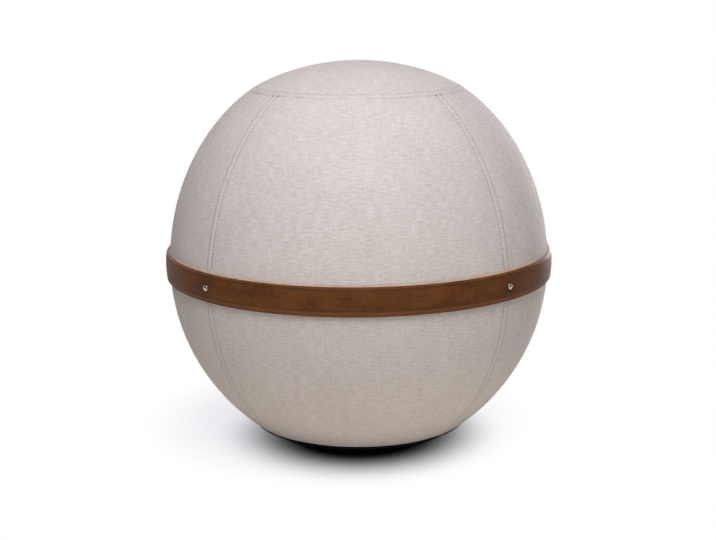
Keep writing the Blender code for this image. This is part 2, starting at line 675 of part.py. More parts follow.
def make_studs():
    """A domed stud through the strap and the cover at each side seam, riveted to a washer inside."""
    washer_inner = BALL_RADIUS - WASHER_INNER_DEPTH
    for number, seam in enumerate(SEAM_NAMES):
        azimuth = seam_azimuth(number)
        lift = LAP_LIFT if number == LAP_SEAM else 0
        seat = STRAP_OUTER_RADIUS + lift + CLEARANCE
        stud = turned(f"stud_{seam}", stud_profile(seat - washer_inner), STUD_METAL, SMALL_STEPS)
        face_outwards(stud, azimuth, seat)
        hole = STUD_POST_RADIUS + CLEARANCE
        ring = [(hole, 0), (WASHER_RADIUS, 0), (WASHER_RADIUS, WASHER_THICKNESS), (hole, WASHER_THICKNESS)]
        washer = turned(f"stud_washer_{seam}", ring, STUD_METAL, SMALL_STEPS)
        face_outwards(washer, azimuth, washer_inner)


def stud_profile(post_length):
    """The post, the flat underside and the dome, from the post's end to the top of the head."""
    profile = [(0, -post_length), (STUD_POST_RADIUS, -post_length)]
    profile += [(STUD_POST_RADIUS, 0), (STUD_HEAD_RADIUS, 0)]
    for i in range(DOME_STEPS + 1):
        angle = math.pi / 2 * i / DOME_STEPS
        height = STUD_RIM + (STUD_HEAD_HEIGHT - STUD_RIM) * math.sin(angle)
        profile.append((STUD_HEAD_RADIUS * math.cos(angle), height))
    return profile


for item in list(bpy.data.objects):
    bpy.data.objects.remove(item, do_unlink=True)

COVER_FABRIC = finish("cover_fabric", (0.62, 0.56, 0.52), 0.9)
TAPE_WEBBING = finish("tape_webbing", (0.55, 0.50, 0.46), 0.85)
BASE_FABRIC = finish("base_fabric", (0.012, 0.012, 0.013), 0.8)
ZIP_NYLON = finish("zip_nylon", (0.015, 0.015, 0.016), 0.6)
ZIP_METAL = finish("zip_metal", (0.05, 0.05, 0.05), 0.35, 1.0)
BALLAST = finish("ballast", (0.05, 0.05, 0.055), 0.9)
BLADDER_RUBBER = finish("bladder_rubber", (0.16, 0.17, 0.18), 0.45)
VALVE_PLASTIC = finish("valve_plastic", (0.75, 0.75, 0.73), 0.4)
STRAP_LEATHER = finish("strap_leather", (0.14, 0.045, 0.014), 0.55)
LINING_LEATHER = finish("lining_leather", (0.18, 0.085, 0.04), 0.8)
STUD_METAL = finish("stud_metal", (0.78, 0.78, 0.78), 0.15, 1.0)

POST_HOLES = stud_holes("post_hole", STUD_POST_RADIUS + CLEARANCE)
WASHER_HOLES = stud_holes("washer_hole", WASHER_RADIUS + CLEARANCE)
make_base()
make_zip()
make_ballast()
make_bladder()
make_valve()
make_cover(POST_HOLES, WASHER_HOLES)
make_strap(POST_HOLES)
make_studs()
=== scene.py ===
"""The looks of a sitting ball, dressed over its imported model.

Metres, +Z up; the front panel faces -Y. The file follows the ball as it is put together: the sewn cover,
its base and zip, the strap and its studs, what goes inside, and then the floor, the light and the camera.
"""

import math

import bmesh
import bpy
from mathutils import Matrix, Vector


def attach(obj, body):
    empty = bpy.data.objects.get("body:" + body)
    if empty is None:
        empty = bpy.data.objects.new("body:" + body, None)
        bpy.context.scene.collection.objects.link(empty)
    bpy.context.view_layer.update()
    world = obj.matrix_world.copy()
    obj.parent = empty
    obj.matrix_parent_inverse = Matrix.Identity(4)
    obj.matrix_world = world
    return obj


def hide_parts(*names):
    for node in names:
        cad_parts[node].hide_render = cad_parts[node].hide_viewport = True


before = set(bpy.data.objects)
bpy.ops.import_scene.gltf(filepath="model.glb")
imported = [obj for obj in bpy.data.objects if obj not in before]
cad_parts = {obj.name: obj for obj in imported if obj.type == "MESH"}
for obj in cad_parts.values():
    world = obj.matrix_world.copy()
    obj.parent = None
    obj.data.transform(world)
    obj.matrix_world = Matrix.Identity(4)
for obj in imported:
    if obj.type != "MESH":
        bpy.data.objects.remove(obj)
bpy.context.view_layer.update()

# Side panels
# Four gores of light linen-look cloth, sewn edge to edge and stretched round by the bladder's pressure.
# The seam allowances lie open on a tape behind, so a seam is a low ridge between its two rows of stitches.
MM = 0.001
FULL_TURN = 2 * math.pi
QUARTER_TURN = FULL_TURN / 4
BALL_RADIUS = 275 * MM
SIDE_ARC_RADIUS = 300 * MM  # the curve of a panel from base to cap
CAP_SEAM_RADIUS = 148 * MM
BASE_SEAM_RADIUS = 157 * MM
BASE_SEAM_HEIGHT = 14 * MM
CLOTH_THICKNESS = 1.2 * MM
CLOTH_THREAD = 1.0 * MM  # from one thread of the weave to the next
STITCH_GAUGE = 9 * MM  # between the two needles of a seam
SIDE_STITCHES = 124  # in a row from base to cap
CAP_STITCHES = 206  # in a row round the cap
STITCH_SHADOW = 1.3 * MM  # on either side of a row
STRAP_WIDTH = 38.5 * MM
STRAP_HOLD = 1 * MM  # from the strap's edge in to where it presses the seams flat
STRAP_EASE = 5 * MM  # from its edge out to where they stand up again
WAIST_DEPTH = 3.4 * MM  # how far the strap draws the cover in
WAIST_ANGLE = math.radians(12)  # where it is deepest, up from the equator
WAIST_SPREAD = math.radians(24)
FRONT_EXTRA = math.radians(1.4)  # how much further from the front a seam lies than an even quarter's
CAP_SEAM_SHARE = 0.5  # the cap's seam is pressed flatter than the side seams
CAP_SINK = 1.1 * MM  # how far the cap's seam is drawn in
CAP_SINK_REACH = 18 * MM
SWELL_REACH = 60 * MM  # from a seam to where the cloth is as uneven as it gets
TUCK_REACH = 1.5 * MM  # up from the base seam
PANEL_SIDES = ("right", "back", "left", "front")
SEAM_SIDES = ("front_right", "back_right", "back_left", "front_left")

PANEL_TURN = FULL_TURN / len(PANEL_SIDES)
FIRST_SEAM = -QUARTER_TURN + PANEL_TURN / 2
SEAM_AZIMUTHS = [FIRST_SEAM + i * PANEL_TURN + FRONT_EXTRA * (-1) ** i for i in range(len(SEAM_SIDES))]
ARC_CENTRE = BALL_RADIUS - SIDE_ARC_RADIUS
BASE_ANGLE = -math.acos((BASE_SEAM_RADIUS - ARC_CENTRE) / SIDE_ARC_RADIUS)
CAP_ANGLE = math.acos((CAP_SEAM_RADIUS - ARC_CENTRE) / SIDE_ARC_RADIUS)
EQUATOR_HEIGHT = BASE_SEAM_HEIGHT - SIDE_ARC_RADIUS * math.sin(BASE_ANGLE)
SIDE_LENGTH = SIDE_ARC_RADIUS * (CAP_ANGLE - BASE_ANGLE)
SIDE_PITCH = SIDE_LENGTH / SIDE_STITCHES
CAP_PITCH = FULL_TURN * CAP_SEAM_RADIUS / CAP_STITCHES


class Wire:
    """An output socket of a node; arithmetic on it adds Math nodes to its tree."""

    def __init__(self, graph, socket):
        self.graph = graph
        self.socket = socket

    def __getitem__(self, output):
        """Another output of the same node."""
        return Wire(self.graph, self.socket.node.outputs[output])

    def __add__(self, other):
        return self.graph.maths("ADD", self, other)

    def __sub__(self, other):
        return self.graph.maths("SUBTRACT", self, other)

    def __rsub__(self, other):
        return self.graph.maths("SUBTRACT", other, self)

    def __mul__(self, other):
        return self.graph.maths("MULTIPLY", self, other)

    def __truediv__(self, other):
        return self.graph.maths("DIVIDE", self, other)

    def __rtruediv__(self, other):
        return self.graph.maths("DIVIDE", other, self)

    def __pow__(self, other):
        return self.graph.maths("POWER", self, other)

    def __neg__(self):
        return self.graph.maths("MULTIPLY", self, -1.0)

    def __abs__(self):
        return self.graph.maths("ABSOLUTE", self)

    __radd__ = __add__
    __rmul__ = __mul__


class Graph:
    """A node tree that is being built."""

    def __init__(self, tree):
        tree.nodes.clear()
        self.tree = tree

    def node(self, kind, settings=None, sockets=None, output=0):
        """Adds a node: first its settings, then the values or links of its sockets."""
        made = self.tree.nodes.new(kind)
        for name, value in (settings or {}).items():
            setattr(made, name, value)
        for name, value in (sockets or {}).items():
            if isinstance(value, Wire):
                self.tree.links.new(value.socket, made.inputs[name])
            else:
                made.inputs[name].default_value = value
        return Wire(self, made.outputs[output]) if made.outputs else None

    def maths(self, operation, *values):
        return self.node("ShaderNodeMath", {"operation": operation}, dict(enumerate(values)))

    def vector(self, x, y, z=0.0):
        return self.node("ShaderNodeCombineXYZ", sockets={"X": x, "Y": y, "Z": z})

    def parts(self, vector):
        return self.node("ShaderNodeSeparateXYZ", sockets={"Vector": vector})

    def stretched(self, vector, factors):
        return self.node("ShaderNodeVectorMath", {"operation": "MULTIPLY"}, {0: vector, 1: factors})

    def noise(self, place, scale, detail=2.0):
        return self.node("ShaderNodeTexNoise", sockets={"Vector": place, "Scale": scale, "Detail": detail})

    def rise(self, value, low, high):
        """0 below low and 1 above high, with a soft change between."""
        sockets = {"Value": value, "From Min": low, "From Max": high}
        return self.node("ShaderNodeMapRange", {"interpolation_type": "SMOOTHSTEP"}, sockets)

    def bell(self, value):
        """1 at nought, falling softly to either side."""
        return self.maths("EXPONENT", -(value * value))

    def blend(self, factor, first, second):
        """A colour between two colours."""
        return self.node("ShaderNodeMix", {"data_type": "RGBA"}, {0: factor, 6: first, 7: second}, 2)

    def bump(self, height, distance):
        return self.node("ShaderNodeBump", sockets={"Height": height, "Distance": distance, "Strength": 1.0})

    def object_place(self):
        """Where a shaded point is on its object."""
        return self.node("ShaderNodeTexCoord", output="Object")

    def attribute(self, name, output="Vector"):
        """What a shaded point knows by a name."""
        return self.node("ShaderNodeAttribute", {"attribute_name": name}, output=output)

    def stored(self, geometry, name, value, kind="FLOAT_VECTOR"):
        """Geometry whose points know a value by a name."""
        sockets = {"Geometry": geometry, "Name": name, "Value": value}
        return self.node("GeometryNodeStoreNamedAttribute", {"data_type": kind}, sockets)


def shade(red, green, blue):
    """A colour as a screen shows it, 0 to 255, as the linear one that a shader takes."""
    linear = [((part / 255 + 0.055) / 1.055) ** 2.4 for part in (red, green, blue)]
    return (*linear, 1.0)


def new_material(name):
    material = bpy.data.materials.new(name)
    material.use_nodes = True
    return material, Graph(material.node_tree)


def surface(graph, **sockets):
    """Ends a material in one shader; a socket's name has its spaces as underlines."""
    named = {name.replace("_", " "): value for name, value in sockets.items()}
    shader = graph.node("ShaderNodeBsdfPrincipled", sockets=named)
    graph.node("ShaderNodeOutputMaterial", sockets={"Surface": shader})


def linen():
    """A plain weave of uneven yarn, thick in places; shade is painted between its threads, by stitches and
    at corners.
    """
    material, graph = new_material("cover_linen")
    cloth = graph.attribute("cloth")
    wander = graph.noise(cloth, 45.0)
    place = graph.parts(cloth)
    warp_turn = (place["X"] / CLOTH_THREAD + wander * 1.6) * math.pi
    weft_turn = (place["Y"] / CLOTH_THREAD + wander * 1.6) * math.pi
    warp_wave = graph.maths("SINE", warp_turn)
    weft_wave = graph.maths("SINE", weft_turn)
    warp_over = graph.maths("GREATER_THAN", warp_wave * weft_wave, 0.0)
    warp_round = abs(warp_wave) ** 0.6 * (0.6 + 0.4 * abs(weft_wave))
    weft_round = abs(weft_wave) ** 0.6 * (0.6 + 0.4 * abs(warp_wave))
    weave = warp_over * warp_round + (1 - warp_over) * weft_round

    warp_yarn = graph.noise(graph.stretched(cloth, (900.0, 40.0, 0.0)), 1.0)
    weft_yarn = graph.noise(graph.stretched(cloth, (40.0, 900.0, 0.0)), 1.0)
    warp_slub = graph.noise(graph.stretched(cloth, (520.0, 80.0, 0.0)), 1.0, 3.0)
    weft_slub = graph.noise(graph.stretched(cloth, (90.0, 560.0, 0.0)), 1.0, 3.0)
    patch = graph.noise(cloth, 14.0, 3.0)
    yarn = warp_over * warp_yarn + (1 - warp_over) * weft_yarn
    slub = 0.25 * warp_slub + 0.75 * weft_slub
    tone = 0.3 * yarn + 0.6 * slub + 0.1 * patch
    light = graph.rise(tone, 0.3, 0.7)
    thread = graph.blend(light, shade(195, 186, 183), shade(232, 224, 224))
    # painted shade beside each row of stitches and, from the corner mask, at the seams' corners
    stitch_row_shade = graph.bell((place["Z"] - STITCH_GAUGE / 2) / STITCH_SHADOW)
    corner = graph.attribute("corner", "Fac")
    seam_shade = graph.maths("MAXIMUM", 0.22 * stitch_row_shade, 0.8 * corner)
    # painted shade in the weave's hollows, where its threads dip
    shadow = graph.maths("MAXIMUM", 0.2 * (1 - weave), seam_shade)
    shaded = graph.blend(shadow, thread, shade(140, 127, 121))
    bump = graph.bump(weave * 0.7 + slub * 0.6, 0.3 * MM)
    surface(
        graph,
        Base_Color=shaded,
        Roughness=0.82 + 0.12 * slub,
        Normal=bump,
        Sheen_Weight=0.06,
        Sheen_Roughness=0.45,
        Specular_IOR_Level=0.2,
    )
    return material


def new_tree(name, whole=(), sizes=(), finish="Finish"):
    """A geometry tree with whole numbers, sizes and one material as its named inputs."""
    tree = bpy.data.node_groups.new(name, "GeometryNodeTree")
    tree.interface.new_socket("Geometry", in_out="OUTPUT", socket_type="NodeSocketGeometry")
    tree.interface.new_socket("Geometry", in_out="INPUT", socket_type="NodeSocketGeometry")
    for label in whole:
        tree.interface.new_socket(label, in_out="INPUT", socket_type="NodeSocketInt")
    for label in sizes:
        tree.interface.new_socket(label, in_out="INPUT", socket_type="NodeSocketFloat")
    tree.interface.new_socket(finish, in_out="INPUT", socket_type="NodeSocketMaterial")
    graph = Graph(tree)
    return graph, graph.node("NodeGroupInput")


def end_tree(graph, geometry, finish):
    """Ends a tree in one smooth, plain mesh with its material."""
    plain = graph.node("GeometryNodeRealizeInstances", sockets={"Geometry": geometry})
    smooth = graph.node("GeometryNodeSetShadeSmooth", sockets={"Geometry": plain})
    finished = graph.node("GeometryNodeSetMaterial", sockets={"Geometry": smooth, "Material": finish})
    graph.node("NodeGroupOutput", sockets={"Geometry": finished})
    return graph.tree


def new_object(name, data):
    made = bpy.data.objects.new(name, data)
    bpy.context.scene.collection.objects.link(made)
    return made


def grow(name, tree, values, start=None):
    """The piece that a tree makes, from a start mesh where it needs one."""
    piece = new_object(name, start or bpy.data.meshes.new(name))
    modifier = piece.modifiers.new(tree.name, "NODES")
    modifier.node_group = tree
    for socket in tree.interface.items_tree:
        if socket.in_out == "INPUT" and socket.name in values:
            modifier[socket.identifier] = values[socket.name]
    made = piece.evaluated_get(bpy.context.evaluated_depsgraph_get())
    mesh = bpy.data.meshes.new_from_object(made)
    piece.modifiers.remove(modifier)
    piece.data = mesh
    return piece


def thicken(piece, thickness):
    """Gives a sheet its thickness, inwards from the face that was made."""
    wall = piece.modifiers.new("thickness", "SOLIDIFY")
    wall.thickness = thickness
    wall.offset = -1


def spread(graph, share, length, margin, fine):
    """How far a share of a length's divisions reaches; a fine share of them is in its last margin."""
    coarse = graph.maths("MINIMUM", share / (1 - fine), 1.0) * (length - margin)
    close = graph.maths("MAXIMUM", (share - (1 - fine)) / fine, 0.0) * margin
    return coarse + close


SEAM_VALUES = {
    "Cap Seam Radius": CAP_SEAM_RADIUS,
    "Cap Pitch": CAP_PITCH,
    "Cap Seam Share": CAP_SEAM_SHARE,
    "Cap Sink": CAP_SINK,
    "Cap Sink Reach": CAP_SINK_REACH,
    "Stitch Gauge": STITCH_GAUGE,
    "Seam Margin": 12 * MM,
    "Ridge Height": 0.65 * MM,
    "Crease Depth": 0.25 * MM,
    "Dimple Depth": 0.8 * MM,
    "Pucker Height": 0.7 * MM,
}


def seam_relief(graph, given, distance, along, pitch):
    """How far the cloth stands out at a distance from a seam and a length along it."""
    row = given["Stitch Gauge"] / 2
    ridge = given["Ridge Height"] * (1 - graph.rise(distance, row * 0.35, row * 0.95))
    crease = given["Crease Depth"] * graph.bell(distance / (row * 0.2))
    pull = 0.7 + 0.3 * graph.maths("COSINE", along * FULL_TURN / pitch)
    dimple = given["Dimple Depth"] * graph.bell((distance - row) / (row * 0.3)) * pull
    ripple = graph.noise(graph.vector(along, distance * 0.25), 80.0) - 0.5
    reach = graph.maths("EXPONENT", distance / -given["Seam Margin"])
    return ridge - crease - dimple + given["Pucker Height"] * ripple * reach


def cap_relief(graph, given, distance, along):
    """The same at the cap's seam, which is pressed flatter and drawn in."""
    pressed = given["Cap Seam Share"] * seam_relief(graph, given, distance, along, given["Cap Pitch"])
    return pressed - given["Cap Sink"] * graph.maths("EXPONENT", distance / -given["Cap Sink Reach"])


PANEL_VALUES = {
    "Side Arc Radius": SIDE_ARC_RADIUS,
    "Arc Centre": ARC_CENTRE,
    "Equator Height": EQUATOR_HEIGHT,
    "Base Angle": BASE_ANGLE,
    "Cap Angle": CAP_ANGLE,
    "Side Pitch": SIDE_PITCH,
    "Strap Width": STRAP_WIDTH,
    "Base Tuck": 1.2 * MM,
    "Corner Depth": 1.4 * MM,
    "Unevenness": 1.2 * MM,
    "Waist Depth": WAIST_DEPTH,
    "Waist Angle": WAIST_ANGLE,
    "Waist Spread": WAIST_SPREAD,
    **SEAM_VALUES,
}


def panel_tree():
    """A grid wrapped on the ball's curve between two side seams, the base and the cap."""
    graph, given = new_tree(
        "cover_panel",
        whole=("Columns", "Rows"),
        sizes=("Middle Azimuth", "Half Turn", *PANEL_VALUES),
        finish="Cloth",
    )
    counts = {"Vertices X": given["Columns"], "Vertices Y": given["Rows"]}
    grid = graph.node("GeometryNodeMeshGrid", sockets={"Size X": 2.0, "Size Y": 2.0, **counts})
    place = graph.parts(graph.node("GeometryNodeInputPosition"))
    arc = given["Side Arc Radius"]
    margin = given["Seam Margin"]
    length = arc * (given["Cap Angle"] - given["Base Angle"])
    climbed = spread(graph, (place["Y"] + 1) / 2, length, margin, fine=0.07)
    angle = given["Base Angle"] + climbed / arc
    ring = given["Arc Centre"] + arc * graph.maths("COSINE", angle)
    half_width = given["Half Turn"] * ring
    from_middle = spread(graph, abs(place["X"]), half_width, margin, fine=0.4)
    across = from_middle * graph.maths("SIGN", place["X"])
    azimuth = given["Middle Azimuth"] + across / ring

    from_side = half_width - from_middle
    from_cap = length - climbed
    row = given["Stitch Gauge"] / 2
    half_strap = given["Strap Width"] / 2
    free_of_strap = graph.rise(abs(arc * angle), half_strap - STRAP_HOLD, half_strap + STRAP_EASE)
    side = seam_relief(graph, given, from_side, climbed, given["Side Pitch"])
    cap_along = azimuth * given["Cap Seam Radius"]
    top = cap_relief(graph, given, from_cap, cap_along)
    from_seam = graph.maths("MINIMUM", from_side, from_cap)
    broad = graph.noise(graph.vector(across, climbed, given["Middle Azimuth"]), 7.0, 1.0) - 0.5
    swell = given["Unevenness"] * broad * graph.rise(from_seam, 0.0, SWELL_REACH)
    tuck = given["Base Tuck"] * graph.maths("EXPONENT", climbed / -TUCK_REACH)
    waist = given["Waist Depth"] * graph.bell((angle - given["Waist Angle"]) / given["Waist Spread"])
    corner = graph.bell((from_side - row) / (row * 0.4)) * graph.bell((from_cap - row) / (row * 0.4))
    sewn = side * graph.rise(from_cap, row * 0.6, row * 1.6)
    relief = (sewn + swell) * free_of_strap + top - tuck - waist - given["Corner Depth"] * corner

    out = ring + relief * graph.maths("COSINE", angle)
    height = given["Equator Height"] + (arc + relief) * graph.maths("SINE", angle)
    spot = graph.vector(out * graph.maths("COSINE", azimuth), out * graph.maths("SINE", azimuth), height)
    cloth = graph.vector(across, arc * angle, from_seam)
    marked = graph.stored(grid, "cloth", cloth)
    cornered = graph.stored(marked, "corner", corner, "FLOAT")
    wrapped = graph.node("GeometryNodeSetPosition", sockets={"Geometry": cornered, "Position": spot})
    return end_tree(graph, wrapped, given["Cloth"])


cover_linen = linen()
panel_rule = panel_tree()
panel_values = {"Columns": 81, "Rows": 400, "Cloth": cover_linen, **PANEL_VALUES}
for number, side in enumerate(PANEL_SIDES):
    middle = FIRST_SEAM + (number + 0.5) * PANEL_TURN
    half_turn = PANEL_TURN / 2 - FRONT_EXTRA * (-1) ** number
    own_values = {"Middle Azimuth": middle, "Half Turn": half_turn}
    panel = grow(f"cover_panel_{side}", panel_rule, {**panel_values, **own_values})
    thicken(panel, CLOTH_THICKNESS)
    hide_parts(f"side_panel_{side}")
    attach(panel, "ball")

# Top cap
# A round of the same cloth that closes the crown, cut flat, eased to a low dome and sewn to the four panels.
# Its seam is made as the side seams are, on a ring of tape and with a row of stitches on either side.
CAP_RISE = 36 * MM
CAP_ARC_RADIUS = (CAP_SEAM_RADIUS**2 + CAP_RISE**2) / (2 * CAP_RISE)
CAP_TILT = math.asin(CAP_SEAM_RADIUS / CAP_ARC_RADIUS)
CAP_CENTRE_HEIGHT = EQUATOR_HEIGHT + SIDE_ARC_RADIUS * math.sin(CAP_ANGLE) + CAP_RISE - CAP_ARC_RADIUS


def cap_tree():
    """A square grid drawn round into a disc and domed, so that the weave runs straight across the crown."""
    graph, given = new_tree(
        "cover_cap",
        whole=("Divisions",),
        sizes=("Cap Arc Radius", "Cap Tilt", "Centre Height", *SEAM_VALUES),
        finish="Cloth",
    )
    counts = {"Vertices X": given["Divisions"], "Vertices Y": given["Divisions"]}
    grid = graph.node("GeometryNodeMeshGrid", sockets={"Size X": 2.0, "Size Y": 2.0, **counts})
    place = graph.parts(graph.node("GeometryNodeInputPosition"))
    x = place["X"]
    y = place["Y"]
    share = graph.maths("MAXIMUM", abs(x), abs(y))
    arc = given["Cap Arc Radius"]
    reach = arc * given["Cap Tilt"]
    from_crown = spread(graph, share, reach, given["Seam Margin"], fine=0.25)
    azimuth = graph.maths("ARCTAN2", y, x)
    east = graph.maths("COSINE", azimuth)
    north = graph.maths("SINE", azimuth)
    from_seam = reach - from_crown
    relief = cap_relief(graph, given, from_seam, azimuth * given["Cap Seam Radius"])
    tilt = from_crown / arc
    out = (arc + relief) * graph.maths("SINE", tilt)
    height = given["Centre Height"] + (arc + relief) * graph.maths("COSINE", tilt)
    cloth = graph.vector(from_crown * east, from_crown * north, from_seam)
    marked = graph.stored(grid, "cloth", cloth)
    spot = graph.vector(out * east, out * north, height)
    domed = graph.node("GeometryNodeSetPosition", sockets={"Geometry": marked, "Position": spot})
    return end_tree(graph, domed, given["Cloth"])


cap_values = {
    "Divisions": 133,
    "Cap Arc Radius": CAP_ARC_RADIUS,
    "Cap Tilt": CAP_TILT,
    "Centre Height": CAP_CENTRE_HEIGHT,
    "Cloth": cover_linen,
    **SEAM_VALUES,
}
cap = grow("cover_cap", cap_tree(), cap_values)
thicken(cap, CLOTH_THICKNESS)
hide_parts("top_cap")
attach(cap, "ball")
cap_reach = CAP_ARC_RADIUS * CAP_TILT

# Cover stitching
# Twin rows of polyester thread, darker than the cloth, sewn through it and the tape behind each seam.
# Every stitch is a short bow of thread between two needle holes, pulled a little into the cloth.
COVER_THREAD = 0.8 * MM
STITCH_LENGTH = 3.7 * MM
STITCH_SINK = 0.35 * MM  # of a row below the cloth's round


def sewing_thread(name, dark, light):
    """Twisted thread: a soft sheen, and plies a little lighter and darker."""
    material, graph = new_material(name)
    place = graph.object_place()
    ply = graph.noise(place, 2600.0, 1.0)
    length = graph.noise(place, 120.0)
    colour = graph.blend(graph.rise(0.6 * ply + 0.4 * length, 0.3, 0.7), dark, light)
    surface(graph, Base_Color=colour, Roughness=0.55 + 0.2 * ply, Normal=graph.bump(ply, 0.1 * MM))
    return material


def stitch_tree():
    """Stitches laid along rows; each row is a line of edges whose points know which way is out."""
    graph, given = new_tree(
        "stitches",
        whole=("Stitches", "Seed"),
        sizes=("Stitch Length", "Thread Thickness"),
        finish="Thread",
    )
    half = given["Stitch Length"] / 2
    thickness = given["Thread Thickness"]
    bow_sockets = {
        "Resolution": 5,
        "Start": graph.vector(-half, 0.0, -thickness),
        "Middle": graph.vector(0.0, 0.0, thickness),
        "End": graph.vector(half, 0.0, -thickness),
    }
    bow = graph.node("GeometryNodeCurveQuadraticBezier", sockets=bow_sockets)
    section_sockets = {"Resolution": 6, "Radius": thickness / 2}
    section = graph.node("GeometryNodeCurvePrimitiveCircle", sockets=section_sockets)
    stitch_sockets = {"Curve": bow, "Profile Curve": section, "Fill Caps": True}
    stitch = graph.node("GeometryNodeCurveToMesh", sockets=stitch_sockets)
    rows = graph.node("GeometryNodeMeshToCurve", sockets={"Mesh": given["Geometry"]})
    row_sockets = {"Curve": rows, "Count": given["Stitches"]}
    places = graph.node("GeometryNodeResampleCurve", {"mode": "COUNT"}, row_sockets)
    out = graph.node("GeometryNodeInputNamedAttribute", {"data_type": "FLOAT_VECTOR"}, {"Name": "out"})
    turn = graph.node(
        "FunctionNodeAxesToRotation",
        {"primary_axis": "X", "secondary_axis": "Z"},
        {"Primary Axis": graph.node("GeometryNodeInputTangent"), "Secondary Axis": out},
    )
    size_sockets = {"Min": 0.92, "Max": 1.06, "Seed": given["Seed"]}
    size = graph.node("FunctionNodeRandomValue", {"data_type": "FLOAT"}, size_sockets, 1)
    even_size = graph.vector(size, size, size)
    laid_sockets = {"Points": places, "Instance": stitch, "Rotation": turn, "Scale": even_size}
    laid = graph.node("GeometryNodeInstanceOnPoints", sockets=laid_sockets)
    return end_tree(graph, laid, given["Thread"])


def row_mesh(name, rows, closed=False):
    """Lines of edges for stitches; a row is a list of places, each with the direction that is out."""
    mesh = bpy.data.meshes.new(name)
    points = []
    edges = []
    directions = []
    for row in rows:
        first = len(points)
        last = first + len(row) - 1
        edges += [(i, i + 1) for i in range(first, last)]
        if closed:
            edges.append((last, first))
        points += [place for place, _ in row]
        directions += [out for _, out in row]
    mesh.from_pydata(points, edges, [])
    stored = mesh.attributes.new("out", "FLOAT_VECTOR", "POINT")
    stored.data.foreach_set("vector", [part for out in directions for part in out])
    return mesh


def polar(radius, azimuth, height):
    return Vector((radius * math.cos(azimuth), radius * math.sin(azimuth), height))


def cap_sink(from_seam):
    return CAP_SINK * math.exp(-from_seam / CAP_SINK_REACH)


def on_side(seam, beside, climbed, depth):
    """A place beside a side seam, a length up from the base and a depth in, and which way is out there."""
    angle = BASE_ANGLE + climbed / SIDE_ARC_RADIUS
    azimuth = seam + beside / (ARC_CENTRE + SIDE_ARC_RADIUS * math.cos(angle))
    waist = WAIST_DEPTH * math.exp(-(((angle - WAIST_ANGLE) / WAIST_SPREAD) ** 2))
    arc = SIDE_ARC_RADIUS - waist - cap_sink(SIDE_LENGTH - climbed) - depth
    place = polar(ARC_CENTRE + arc * math.cos(angle), azimuth, EQUATOR_HEIGHT + arc * math.sin(angle))
    return place, polar(math.cos(angle), azimuth, math.sin(angle))


def on_cap(azimuth, from_seam, depth):
    """A place on the cap, a length in from its seam and a depth in, and which way is out there."""
    tilt = CAP_TILT - from_seam / CAP_ARC_RADIUS
    out = polar(math.sin(tilt), azimuth, math.cos(tilt))
    return Vector((0, 0, CAP_CENTRE_HEIGHT)) + out * (CAP_ARC_RADIUS - cap_sink(from_seam) - depth), out


stitch_rule = stitch_tree()
half_gauge = STITCH_GAUGE / 2
thread_values = {
    "Stitch Length": STITCH_LENGTH,
    "Thread Thickness": COVER_THREAD,
    "Thread": sewing_thread("cover_thread", shade(106, 92, 90), shade(146, 131, 127)),
}
climbs = [SIDE_PITCH * (i + 0.5) for i in range(SIDE_STITCHES - 1)]
side_rows = []
for seam in SEAM_AZIMUTHS:
    for beside in (-half_gauge, half_gauge):
        side_rows.append([on_side(seam, beside, climbed, STITCH_SINK) for climbed in climbs])
cap_turns = [(i + 0.5) * FULL_TURN / CAP_STITCHES for i in range(CAP_STITCHES)]
cap_rows = [
    [on_cap(azimuth, half_gauge, STITCH_SINK) for azimuth in cap_turns],
    [on_side(azimuth, 0, SIDE_LENGTH - half_gauge, STITCH_SINK) for azimuth in cap_turns],
]
side_start = row_mesh("side_stitching", side_rows)
cap_start = row_mesh("cap_stitching", cap_rows, closed=True)
side_row_values = {**thread_values, "Stitches": SIDE_STITCHES - 1, "Seed": 3}
cap_row_values = {**thread_values, "Stitches": CAP_STITCHES, "Seed": 5}
for stitching in (
    grow("side_stitching", stitch_rule, side_row_values, side_start),
    grow("cap_stitching", stitch_rule, cap_row_values, cap_start),
):
    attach(stitching, "ball")

# Seam tapes
# Woven cotton tape behind each side seam and a ring of it behind the cap's, held by the rows of stitches.
# It keeps the seams from stretching under the bladder's pressure.
TAPE_WIDTH = 24 * MM
TAPE_THICKNESS = 0.9 * MM
TAPE_DEPTH = 2.2 * MM  # of its face behind the cloth's round
TAPE_END = 13 * MM  # from a side tape's end to the base seam and to the cap seam
TAPE_LENGTH = SIDE_LENGTH - 2 * TAPE_END


def woven(name, thread, dark, light, roughness):
    """A close plain weave of even yarn."""
    material, graph = new_material(name)
    cloth = graph.attribute("cloth")
    place = graph.parts(cloth)
    warp = graph.maths("SINE", place["X"] * (math.pi / thread))
    weft = graph.maths("SINE", place["Y"] * (math.pi / thread))
    weave = 0.5 + 0.5 * warp * weft
    wear_and_painted_light = graph.noise(cloth, 160.0, 3.0)
    colour = graph.blend(graph.rise(0.5 * weave + 0.5 * wear_and_painted_light, 0.2, 0.8), dark, light)
    bump = graph.bump(weave, 0.25 * MM)
    surface(graph, Base_Color=colour, Roughness=roughness - 0.1 * wear_and_painted_light, Normal=bump, Specular_IOR_Level=0.3)
    return material


